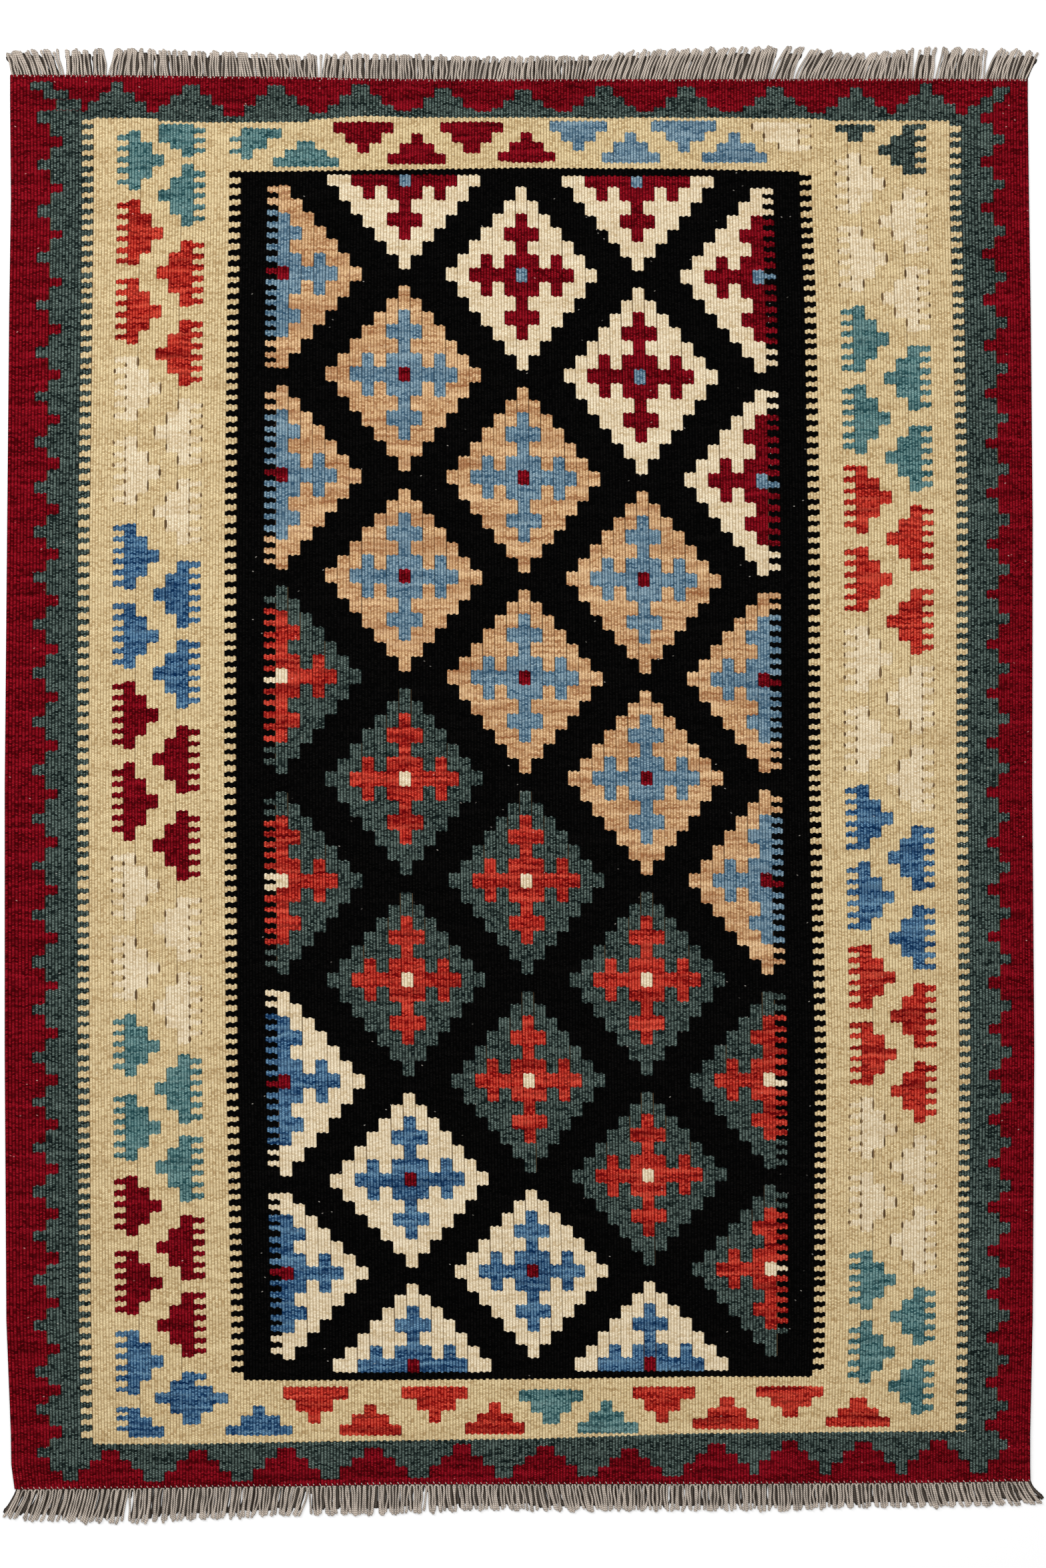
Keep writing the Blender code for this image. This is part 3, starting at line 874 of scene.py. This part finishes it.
def cord_path(end, root_x, spread_x, swing, start, length, level, draw):
    """The middle of one cord from its start at the cloth to its tip on the floor."""
    outward = 1 if end == "top" else -1
    count = max(int(length / CORD_SECTION), 8)
    along = np.linspace(0.0, 1.0, count)
    lean = lean_at(end, share_across(root_x)) * MM
    bow = draw.normal(0, LOOSE["bow"])
    wave = draw.normal(0, LOOSE["wave"])
    x = root_x + spread_x * np.sqrt(np.clip(along * length / UNPAIRED, 0, 1))
    x += lean * along ** LEAN_CURVE + swing * along ** 2
    x += bow * np.sin(math.pi * along) + wave * np.sin(3 * math.pi * along + draw.uniform(0, 6))
    y = float(end_y(end, root_x)) + outward * (start + (length - start) * along)
    return np.stack((x, y, np.full(count, level)), 1)


def cord_tube(path, wide, tall):
    """A cord along its path: the place of every corner of its sections, how far round the cord
    it is from underneath, as a share, and how far along."""
    step = np.gradient(path, axis=0)
    beside = np.stack((step[:, 1], -step[:, 0]), 1)
    beside /= np.linalg.norm(beside, axis=1)[:, None]
    run = np.concatenate(([0.0], np.cumsum(np.linalg.norm(np.diff(path, axis=0), axis=1))))
    size = np.interp(run / run[-1], *zip(*CORD_OUTLINE))[:, None] / 2
    turned = np.arange(CORD_SIDES) / CORD_SIDES
    angle = -math.pi / 2 - 2 * math.pi * turned
    out = wide * size * np.cos(angle)
    x = path[:, :1] + beside[:, :1] * out
    y = path[:, 1:2] + beside[:, 1:] * out
    z = path[:, 2:] + tall * np.minimum(size, 0.5) * np.sin(angle)
    z = np.maximum(z, 0.02 * MM)
    return np.stack((x, y, z, np.broadcast_to(turned, x.shape),
                     np.broadcast_to(run[:, None], x.shape)), 2)


def upper_cords(end, fringe, draw):
    """The cords on top, in pairs at their roots and in tufts at their tips."""
    middles, pitch = fringe_pairs(end)
    in_tuft, tuft = 0, 1
    root, widen, loose, start = TIES[end]
    drift = 0.0
    cords = []
    for middle in middles:
        middle += draw.normal(0, LOOSE["root"])
        parted = widen + draw.uniform(-loose, loose)
        for side in (-1, 1):
            if in_tuft == tuft:
                in_tuft, tuft = 0, int(draw.integers(*TUFT_SIZES))
                drift = draw.normal(0, LOOSE["tuft"])
            centre = (in_tuft + 0.5 - tuft / 2) / tuft
            in_tuft += 1
            length = fringe_length(end, middle)
            length *= 1.03 - 0.45 * centre ** 2 + draw.normal(0, LOOSE["length"])
            swing = drift - centre * pitch * 0.5 + draw.normal(0, LOOSE["tip"])
            wide = fringe.cord_width * draw.uniform(1 - LOOSE["width"], 1 + LOOSE["width"])
            level = wide * 0.46 + abs(draw.normal(0, LOOSE["level"])) * MM
            path = cord_path(end, middle + side * root * pitch, side * parted * pitch, swing,
                             start * MM, length, level, draw)
            cords.append(cord_tube(path, wide, wide * 0.9))
    return cords


def lower_cords(end, draw):
    """The cords underneath, that fill the gaps; lying low, they take the cotton's painted shade and stand in
    for the shade between the others.
    """
    middles, pitch = fringe_pairs(end)
    cords = []
    for middle in middles:
        for side in (-1, 1):
            root = middle + side * pitch / 4 + pitch / 8
            before, after = (lean_at(end, share_across(root + half * pitch))
                             for half in (-0.5, 0.5))
            length = fringe_length(end, middle) * draw.uniform(0.78, 0.9)
            if abs(before - after) > PARTING:
                if end == "top":
                    continue
                length *= 0.4
            path = cord_path(end, root, 0.0, 0.0, UNDER_START, length, UNDER_LEVEL, draw)[::2]
            cords.append(cord_tube(path, UNDER_WIDTH, UNDER_HEIGHT))
    return cords


def fringe_mesh(end, fringe):
    """The loose cords of one end."""
    draw = np.random.default_rng(21 if end == "top" else 22)
    cords = upper_cords(end, fringe, draw) + lower_cords(end, draw)
    rings = np.concatenate(cords)
    mesh = closed_tubes("cords_" + end, rings[:, :, :3], np.array([len(cord) for cord in cords]))
    add_flat_map(mesh)
    add_map(mesh, "cord", rings[:, :, 3:].reshape(-1, 2) / (1.0, fringe.twist))
    return mesh


# A small bud of bare warp: along, and its radius there
BUD_SECTIONS = ((-0.9, 0.4), (0.0, 1.0), (0.9, 0.4))
BUD_SIDES = 5            # corners in its section
STEP_BUD = (1.4 * MM, 0.8 * MM, 0.2)       # length, width and slant of one at a corner of a step
STEP_BUD_LEVEL = 0.90    # how high it lies, as a share of the cloth's thickness
EDGE_BUD_LEVEL = 0.88    # and one at the end of the cloth

# The buds along the ends: how far in from the end, length and width, millimetres, and slant
EDGE_BUDS = (("top", 0.2, 2.2, 1.5, 0.3), ("bottom", 1.0, 3.0, 1.3, -0.6))


def step_buds(corners, count, draw):
    """Bits of warp that show at some corners of the steps."""
    chosen = draw.choice(len(corners), count, replace=False)
    places = []
    for rib, up in (corners[place] for place in sorted(chosen)):
        side = rib + float(draw.integers(0, 2))
        x = float(laid_x(np.array([side]), np.array([up]))[0])
        places.append((x, up * MM, CLOTH_THICKNESS * STEP_BUD_LEVEL, *STEP_BUD))
    return places


def edge_buds(draw):
    """Bits of warp that show along both ends, where the cords leave the cloth."""
    places = []
    for end, inset, length, width, slant in EDGE_BUDS:
        middles, pitch = fringe_pairs(end)
        inward = -inset * MM if end == "top" else inset * MM
        for middle in middles:
            x = middle + pitch / 2 + draw.normal(0, 0.4 * MM)
            y = float(end_y(end, x)) + inward + draw.normal(0, 0.3 * MM)
            places.append((x, y, CLOTH_THICKNESS * EDGE_BUD_LEVEL,
                           length * draw.uniform(0.6, 1.1) * MM, width * MM,
                           slant + draw.normal(0, 0.1)))
    return places


def buds_mesh(name, places):
    """Short bits of bare warp, each at a place, with its length, width and slant."""
    rings = []
    corner = np.arange(BUD_SIDES) * math.pi * 2 / BUD_SIDES
    for x, y, z, length, width, slant in places:
        for along, radius in BUD_SECTIONS:
            reach = along * length / 2
            round_x = np.cos(corner) * radius * width / 2
            round_z = np.sin(corner) * radius * width / 2
            y_here = np.full(BUD_SIDES, y + reach)
            rings.append(np.stack((x + round_x + slant * reach, y_here, z + round_z), 1))
    counts = np.full(len(places), len(BUD_SECTIONS))
    mesh = closed_tubes(name, np.array(rings)[:, ::-1], counts)
    add_flat_map(mesh)
    return mesh


# --- Materials ---

def linear(colour):
    """A colour given as 0 to 255 of red, green and blue, as Blender holds it."""
    shares = np.array(colour) / 255
    return tuple(np.where(shares <= 0.04045, shares / 12.92, ((shares + 0.055) / 1.055) ** 2.4))


class Value:
    """A value that differs over the surface. Sums with it add the nodes that work them out."""

    def __init__(self, nodes, socket):
        self.nodes = nodes
        self.socket = socket

    def math(self, operation, second=0.0):
        return self.nodes.math(operation, self, second)

    def __add__(self, other):
        return self.math("ADD", other)

    def __sub__(self, other):
        return self.math("SUBTRACT", other)

    def __rsub__(self, other):
        return self.nodes.math("SUBTRACT", other, self)

    def __mul__(self, other):
        return self.math("MULTIPLY", other)

    def __pow__(self, other):
        return self.math("POWER", other)

    def whole(self):
        return self.math("FLOOR")

    def rest(self):
        return self.math("FRACT")

    def arch(self):
        """Up from 0 to 1 and down to 0 again, while the value goes from 0 to 1."""
        return (self * math.pi).math("SINE")


class Nodes:
    """Adds nodes to one material and joins them up."""

    def __init__(self, name):
        self.material = bpy.data.materials.new(name)
        self.material.use_nodes = True
        self.tree = self.material.node_tree
        self.shader = self.tree.nodes["Principled BSDF"]

    def add(self, kind, inputs, output=0, **settings):
        """One output of a new node with these settings, and these values in its inputs."""
        node = self.tree.nodes.new(kind)
        for setting, value in settings.items():
            setattr(node, setting, value)
        for key, value in inputs.items():
            self.feed(node.inputs[key], value)
        return Value(self, node.outputs[output])

    def feed(self, socket, value):
        if isinstance(value, Value):
            self.tree.links.new(value.socket, socket)
        else:
            socket.default_value = value

    def math(self, operation, first, second):
        return self.add("ShaderNodeMath", {0: first, 1: second}, operation=operation)

    def mix(self, share, first, second):
        return self.add("ShaderNodeMix", {0: share, 6: first, 7: second}, 2, data_type="RGBA")

    def noise(self, vector, scale=1.0, detail=2.0):
        return self.add("ShaderNodeTexNoise", {"Vector": vector, "Scale": scale, "Detail": detail})

    def white(self, *parts):
        """A value of its own for every whole step of the parts."""
        return self.add("ShaderNodeTexWhiteNoise", {"Vector": self.vector(*parts)})

    def spread(self, value, low, high):
        """Map low to 0 and high to 1."""
        return self.add("ShaderNodeMapRange", {"Value": value, "From Min": low, "From Max": high},
                        clamp=True)

    def vector(self, x, y, z=0.0):
        return self.add("ShaderNodeCombineXYZ", {"X": x, "Y": y, "Z": z})

    def split(self, vector):
        """The x, y and z of a vector."""
        x = self.add("ShaderNodeSeparateXYZ", {0: vector})
        return [Value(self, socket) for socket in x.socket.node.outputs]

    def place(self):
        """Where the surface is on the rug, in metres."""
        return self.add("ShaderNodeTexCoord", {}, "Object")

    def map(self, name):
        return self.add("ShaderNodeUVMap", {}, uv_map=name)

    def bump(self, height, distance):
        inputs = {"Height": height, "Distance": distance, "Strength": 1.0}
        self.feed(self.shader.inputs["Normal"], self.add("ShaderNodeBump", inputs))

    def finish(self, colour, roughness, shine):
        """The material, with its colour, roughness and shine."""
        self.feed(self.shader.inputs["Base Color"], colour)
        self.feed(self.shader.inputs["Roughness"], roughness)
        self.feed(self.shader.inputs["Specular IOR Level"], shine)
        return self.material


def yarn_material(yarn, looks, weave):
    """Packed weft of one dye lot: slanting floats on every rib, flecked and streaked, with a painted
    highlight on the crests of the floats and painted shade in their hollows.
    """
    nodes = Nodes("wool_" + yarn)
    row = dict(zip(YARN_ROWS[0], YARN_ROWS[1 + CODE[yarn]]))
    body, light, dark = ((*getattr(looks, f"{yarn}_{shade}"), 1.0) for shade in SHADES)
    place = nodes.map("weave")
    across, along, _ = nodes.split(place)
    rib, phase = across.whole(), across.rest()

    # The passes of weft slant one way on even ribs and the other way on odd ones
    odd = rib.math("MODULO", 2.0)
    wave = nodes.noise(nodes.vector(across * 0.15, along * 0.06), detail=1.0)
    slant = (odd - 0.5) * (phase - 0.5)
    passes = along + slant * 1.2 + odd * 0.5 + wave * 4.0
    weft = passes.whole()
    ridge, swell = phase.arch(), passes.rest().arch()
    crest = ridge * swell

    # Single floats differ, runs of them are streaked, and whole bands were dyed apart
    fleck = nodes.white(rib, weft)
    streak = nodes.noise(nodes.vector(across * 0.05, weft * 0.5))
    x, y, _ = nodes.split(nodes.place())
    band = nodes.noise(nodes.vector(x * 5.0, y * 60.0))
    # Painted highlight: the lightest fibres show at the crest of each float, where the light falls, more on
    # some floats than on others
    colour = nodes.mix((fleck * 1.3 + 0.15) * (crest ** 2.0 * (1.3 * row["fleck"])), body, light)
    colour = nodes.mix(nodes.spread(fleck, 0.4, 0.0) * (0.9 * row["fleck"]), colour, dark)
    for noise, start, end, strength, shade in (
        (streak, 0.53, 0.72, 1.0, light), (streak, 0.47, 0.28, 1.0, dark),
        (band, 0.52, 0.30, 0.5, dark), (band, 0.54, 0.74, 0.35, light),
    ):
        share = nodes.spread(noise, start, end) * (strength * row["streak"])
        colour = nodes.mix(share, colour, shade)

    # Here and there a bit of bare warp shows, and painted shade darkens the hollows between the ribs and the
    # floats
    bit = nodes.spread(fleck, 0.998, 0.9995) * nodes.spread(crest, 0.6, 0.9)
    colour = nodes.mix(bit * 0.6, colour, BARE_WARP)
    gap = nodes.white((across + 0.5).whole(), weft, 3.0)
    gap_shade = nodes.spread(gap, 0.3, 1.0) * (0.7 * row["hollow_shade"]) + 0.25 * row["hollow_shade"]
    hollow_shade = (1.0 - ridge) ** 2.0 * gap_shade + (1.0 - swell) ** 2.0 * (0.4 * row["hollow_shade"])
    # The painted shade is the darkest colour, darkened further towards black
    shade = nodes.mix(0.45, dark, (0.0, 0.0, 0.0, 1.0))
    colour = nodes.mix(hollow_shade.math("MINIMUM", 0.85), colour, shade)

    nodes.bump(nodes.noise(place, 6.0) * 0.35 + crest, weave.float_height)
    return nodes.finish(colour, fleck * -0.2 + 0.95, 0.03)


def cotton_material(name, light, dark, twisted):
    """Plied cotton, with painted shade near black between its plies and low down, and greyer where it has
    been handled.
    """
    nodes = Nodes(name)
    place = nodes.place()
    soil, fibre = nodes.noise(place, 60.0, 3.0), nodes.noise(place, 900.0)
    soiled = (*(0.62 * part for part in light[:3]), 1.0)
    colour = nodes.mix(nodes.spread(soil, 0.25, 0.60), soiled, light)
    colour = nodes.mix(nodes.spread(fibre, 0.48, 0.30) * 0.45, colour, dark)
    height = fibre
    if twisted:
        turned, run, _ = nodes.split(nodes.map("cord"))
        ridge = ((turned + run) * 2.0).rest().arch()
        # Painted shade in the grooves between the plies
        colour = nodes.mix((1.0 - ridge) ** 1.4 * 0.8, colour, dark)
        height = fibre * 0.4 + ridge ** 0.5
    # Painted shade: the cotton goes to its dark colour low down, below 2.3 mm, under the cords on top
    above = nodes.spread(nodes.split(place)[2], 1.0 * MM, 2.3 * MM)
    nodes.bump(height, 0.35 * MM)
    return nodes.finish(nodes.mix(above, dark, colour), soil * 0.1 + 0.85, 0.1)


def foundation_shade_material():
    """The warps deep in the weave, seen only through the slits, painted dark brown for the shade inside the
    slits.
    """
    nodes = Nodes("warp_foundation")
    inputs = {"Vector": nodes.place(), "Scale": 85.0, "Distortion": 0.6, "Detail": 2.0}
    thread = nodes.add("ShaderNodeTexWave", inputs, 1, bands_direction="X")
    nodes.bump(thread, 0.2 * MM)
    # Painted shade: dark browns where the real warps are pale, for the shade inside the slits
    colour = nodes.mix(thread, (0.045, 0.024, 0.010, 1.0), (0.150, 0.090, 0.042, 1.0))
    return nodes.finish(colour, 0.95, 0.1)


def floor_material(colour):
    """A plain pale floor, very slightly mottled."""
    nodes = Nodes("pale_floor")
    cloud = nodes.noise(nodes.place(), 1.5)
    tint = nodes.mix(cloud * 0.04, (*colour, 1.0), (0.7, 0.7, 0.7, 1.0))
    return nodes.finish(tint, 0.9, 0.1)


# --- What a user may change ---

SHADES = ("body", "light", "dark")


def length_setting(name, description, default, low, high):
    """A setting that is a length."""
    return FloatProperty(name=name, description=description, default=default, min=low, max=high,
                         subtype="DISTANCE", unit="LENGTH")


def colour_setting(name, description, default):
    """A setting that is a colour."""
    return FloatVectorProperty(name=name, description=description, default=default, size=3,
                               min=0.0, max=1.0, subtype="COLOR")


class RugWeave(PropertyGroup):
    """How the cloth is woven."""

    slit: length_setting("Slit", "Gap where two yarns meet side by side", 0.45 * MM, 0.0, 1.0 * MM)
    float_height: length_setting("Float height", "How far each float of weft stands proud",
                                 0.40 * MM, 0.0, 1.0 * MM)
    bare_warps: IntProperty(
        name="Bare warps", description="How many step corners show a bit of the warp",
        default=150, min=1, max=400)


class RugFringe(PropertyGroup):
    """The loose warp cords at both ends."""

    cord_width: length_setting("Cord width", "Across one cord", 2.55 * MM, 1.0 * MM, 3.5 * MM)
    twist: length_setting("Twist", "Length of cord in one turn of its plies",
                          5.0 * MM, 2.0 * MM, 20.0 * MM)
    light: colour_setting("Cotton", "Colour of the cords on top", linear((197, 184, 171)))
    # The dark colour is the cords' darker fibres and their painted shade, low down and between the plies
    dark: colour_setting("Hollows", "Colour of the cords low down and between plies",
                         linear((34, 27, 21)))


class RugYarns(PropertyGroup):
    """The colours of the dyed wool: body, lightest and darkest fibres of each yarn. The lightest is also the
    painted highlight on the floats, and the darkest, darkened further, the painted shade in their hollows.
    """

    __annotations__ = {
        f"{row[0]}_{shade}": colour_setting(
            f"{row[0].replace('_', ' ').capitalize()} {shade}",
            f"The {shade} colour of the {row[0].replace('_', ' ')} wool", linear(row[1 + place]))
        for row in YARN_ROWS[1:] for place, shade in enumerate(SHADES)
    }


class RugStage(PropertyGroup):
    """The floor, the lights and the camera."""

    floor_size: length_setting("Floor size", "Side of the square floor", 14.0, 3.0, 30.0)
    floor_colour: colour_setting("Floor", "Colour of the floor", (0.80, 0.80, 0.80))
    camera_height: length_setting("Camera height", "Height of the camera above the floor",
                                  6.0, 2.0, 20.0)
    view_height: length_setting("View height", "Length of floor that the picture takes in",
                                1.9196, 1.0, 10.0)
    light_power: FloatProperty(
        name="Light", description="Power of the large soft light overhead",
        default=140.0, min=0.0, max=2000.0, subtype="POWER", unit="POWER")


class RugSettings(PropertyGroup):
    """All the settings of the rug."""

    weave: PointerProperty(type=RugWeave)
    fringe: PointerProperty(type=RugFringe)
    yarns: PointerProperty(type=RugYarns)
    stage: PointerProperty(type=RugStage)


# --- Operators ---

class KILIM_OT_weft(Operator):
    """Weave the ribs of the cloth, one piece for each yarn"""

    bl_idname = "kilim.weft"
    bl_label = "Weave the weft"

    def execute(self, context):
        settings = context.scene.kilim_rug
        weave = settings.weave
        chart = weave_chart()
        runs, corners = find_runs(chart)
        slits = find_slits(chart)
        for yarn in YARNS:
            own = [run for run in runs if run[3] == CODE[yarn]]
            if not own:
                raise RuntimeError("the chart has no " + yarn)
            name = "weft_" + yarn
            material = yarn_material(yarn, settings.yarns, weave)
            piece = new_piece(name, rib_mesh(name, own, slits, weave), material, "yarn_" + yarn)
            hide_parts("kilim_cloth")
        draw = np.random.default_rng(13)
        places = step_buds(corners, weave.bare_warps, draw) + edge_buds(draw)
        material = cotton_material("bare_warp", BARE_WARP, BARE_WARP_SHADE, False)
        piece = new_piece("bare_warps", buds_mesh("bare_warps", places), material, "fringe_cotton")
        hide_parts("kilim_cloth")
        return {"FINISHED"}


class KILIM_OT_fringe(Operator):
    """Lay out the plied cords of both ends"""

    bl_idname = "kilim.fringe"
    bl_label = "Lay out the fringe"

    def execute(self, context):
        fringe = context.scene.kilim_rug.fringe
        material = cotton_material("plied_cotton", (*fringe.light, 1.0), (*fringe.dark, 1.0), True)
        for end in ("top", "bottom"):
            piece = new_piece("cords_" + end, fringe_mesh(end, fringe), material, "fringe_cotton")
            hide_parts("fringe_" + end)
        return {"FINISHED"}


class KILIM_OT_foundation(Operator):
    bl_idname = "kilim.foundation"
    bl_label = "Lay the foundation"

    FLAT_SIZE = (1.25, 1.72)
    INSET = 1.6 * MM         # from the ends of the cloth
    THICKNESS = 0.5 * MM
    STATIONS = (33, 25)      # points across and along

    def execute(self, context):
        across, along = self.STATIONS
        points = [self.place(share, up) for up in np.linspace(0.0, 1.0, along)
                  for share in np.linspace(0.0, 1.0, across)]
        low = (CLOTH_THICKNESS - self.THICKNESS) / 2
        vertices = [(x, y, low + level) for level in (0.0, self.THICKNESS) for x, y in points]
        above = len(points)
        grid = np.arange(above).reshape(along, across)
        squares = np.stack((grid[:-1, :-1], grid[:-1, 1:], grid[1:, 1:], grid[1:, :-1]), 2)
        squares = squares.reshape(-1, 4)
        rim = np.concatenate((grid[0], grid[1:, -1], grid[-1, -2::-1], grid[-2:0:-1, 0]))
        after = np.roll(rim, -1)
        walls = np.stack((rim, after, after + above, rim + above), 1)
        faces = np.concatenate((squares[:, ::-1], squares + above, walls))
        # The sheet lies inside the cloth, and its dark material stands in for the shade seen through the
        # slits
        mesh = bpy.data.meshes.new("warp_foundation")
        mesh.from_pydata(vertices, [], faces.tolist())
        add_flat_map(mesh)
        cloth = new_piece("warp_foundation", mesh, foundation_shade_material(), "warp_foundation")
        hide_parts("kilim_cloth")
        names = ["weft_" + yarn for yarn in YARNS] + ["bare_warps", "cords_top", "cords_bottom"]
        return {"FINISHED"}

    def place(self, share, up):
        """A point of the sheet, by its shares of the way across and up the cloth."""
        rib = np.array([0.5 + share * (RIBS - 1)])
        x = float(laid_x(rib, np.array([0.0]))[0])
        low, high = float(end_y("bottom", x)) + self.INSET, float(end_y("top", x)) - self.INSET
        y = low + (high - low) * up
        return float(laid_x(rib, np.array([y / MM]))[0]), y


class KILIM_OT_stage(Operator):
    """Set the floor, the soft lights and the camera straight above the rug"""

    bl_idname = "kilim.stage"
    bl_label = "Set the stage"

    # name, share of the power, side of the light, place
    LIGHTS = (("overhead", 1.0, 4.0, (0.0, 0.6, 3.6)), ("raking", 0.45, 1.6, (-2.6, 2.2, 2.4)))
    SKY = 0.51                                  # brightness all round
    PICTURE_MIDDLE = (0.9 * MM, 1.6 * MM)       # on the floor

    def execute(self, context):
        scene = context.scene
        stage = scene.kilim_rug.stage
        half = stage.floor_size / 2
        mesh = bpy.data.meshes.new("floor")
        mesh.from_pydata([(-half, -half, 0), (half, -half, 0), (half, half, 0), (-half, half, 0)],
                         [], [(0, 1, 2, 3)])
        mesh.materials.append(floor_material(stage.floor_colour))
        floor = bpy.data.objects.new("floor", mesh)
        scene.collection.objects.link(floor)
        for name, share, size, place in self.LIGHTS:
            self.add_light(scene, name, stage.light_power * share, size, Vector(place))
        world = bpy.data.worlds.new("studio")
        world.use_nodes = True
        background = world.node_tree.nodes["Background"]
        background.inputs["Color"].default_value = (1.0, 1.0, 1.0, 1.0)
        background.inputs["Strength"].default_value = self.SKY
        scene.world = world
        scene.view_settings.view_transform = "Standard"
        self.add_camera(scene, stage)
        return {"FINISHED"}

    def add_light(self, scene, name, power, size, place):
        """A square soft light that faces the rug."""
        lamp = bpy.data.lights.new(name, "AREA")
        lamp.energy = power
        lamp.size = size
        light = bpy.data.objects.new(name, lamp)
        light.location = place
        light.rotation_euler = (-place).to_track_quat("-Z", "Y").to_euler()
        scene.collection.objects.link(light)

    def add_camera(self, scene, stage):
        """The camera looks straight down, with the rug's top end at the top."""
        lens = bpy.data.cameras.new("camera")
        lens.sensor_fit = "VERTICAL"
        lens.sensor_height = 24.0
        above = stage.camera_height - CLOTH_THICKNESS
        lens.lens = lens.sensor_height * above / stage.view_height
        camera = bpy.data.objects.new("camera", lens)
        camera.location = (*self.PICTURE_MIDDLE, stage.camera_height)
        scene.collection.objects.link(camera)
        scene.camera = camera


class KILIM_PT_rug(Panel):
    """The rug's settings and the steps that make it"""

    bl_idname = "KILIM_PT_rug"
    bl_label = "Kilim Rug"
    bl_space_type = "VIEW_3D"
    bl_region_type = "UI"
    bl_category = "Kilim Rug"

    def draw(self, context):
        settings = context.scene.kilim_rug
        for group, names in (
            (settings.weave, ("slit", "float_height", "bare_warps")),
            (settings.fringe, ("cord_width", "twist", "light", "dark")),
            (settings.yarns, tuple(yarn + "_body" for yarn in YARNS)),
            (settings.stage, ("floor_size", "floor_colour", "camera_height", "view_height",
                              "light_power")),
        ):
            box = self.layout.box()
            for name in names:
                box.prop(group, name)
        for operator in OPERATORS:
            self.layout.operator(operator.bl_idname)


OPERATORS = (KILIM_OT_weft, KILIM_OT_fringe, KILIM_OT_foundation, KILIM_OT_stage)
CLASSES = (RugWeave, RugFringe, RugYarns, RugStage, RugSettings, *OPERATORS, KILIM_PT_rug)


def register():
    for one in CLASSES:
        bpy.utils.register_class(one)
    bpy.types.Scene.kilim_rug = PointerProperty(type=RugSettings)


def unregister():
    del bpy.types.Scene.kilim_rug
    for one in reversed(CLASSES):
        bpy.utils.unregister_class(one)


def main():
    register()
    bpy.ops.kilim.weft()
    bpy.ops.kilim.fringe()
    bpy.ops.kilim.foundation()
    bpy.ops.kilim.stage()


if __name__ == "__main__":
    main()
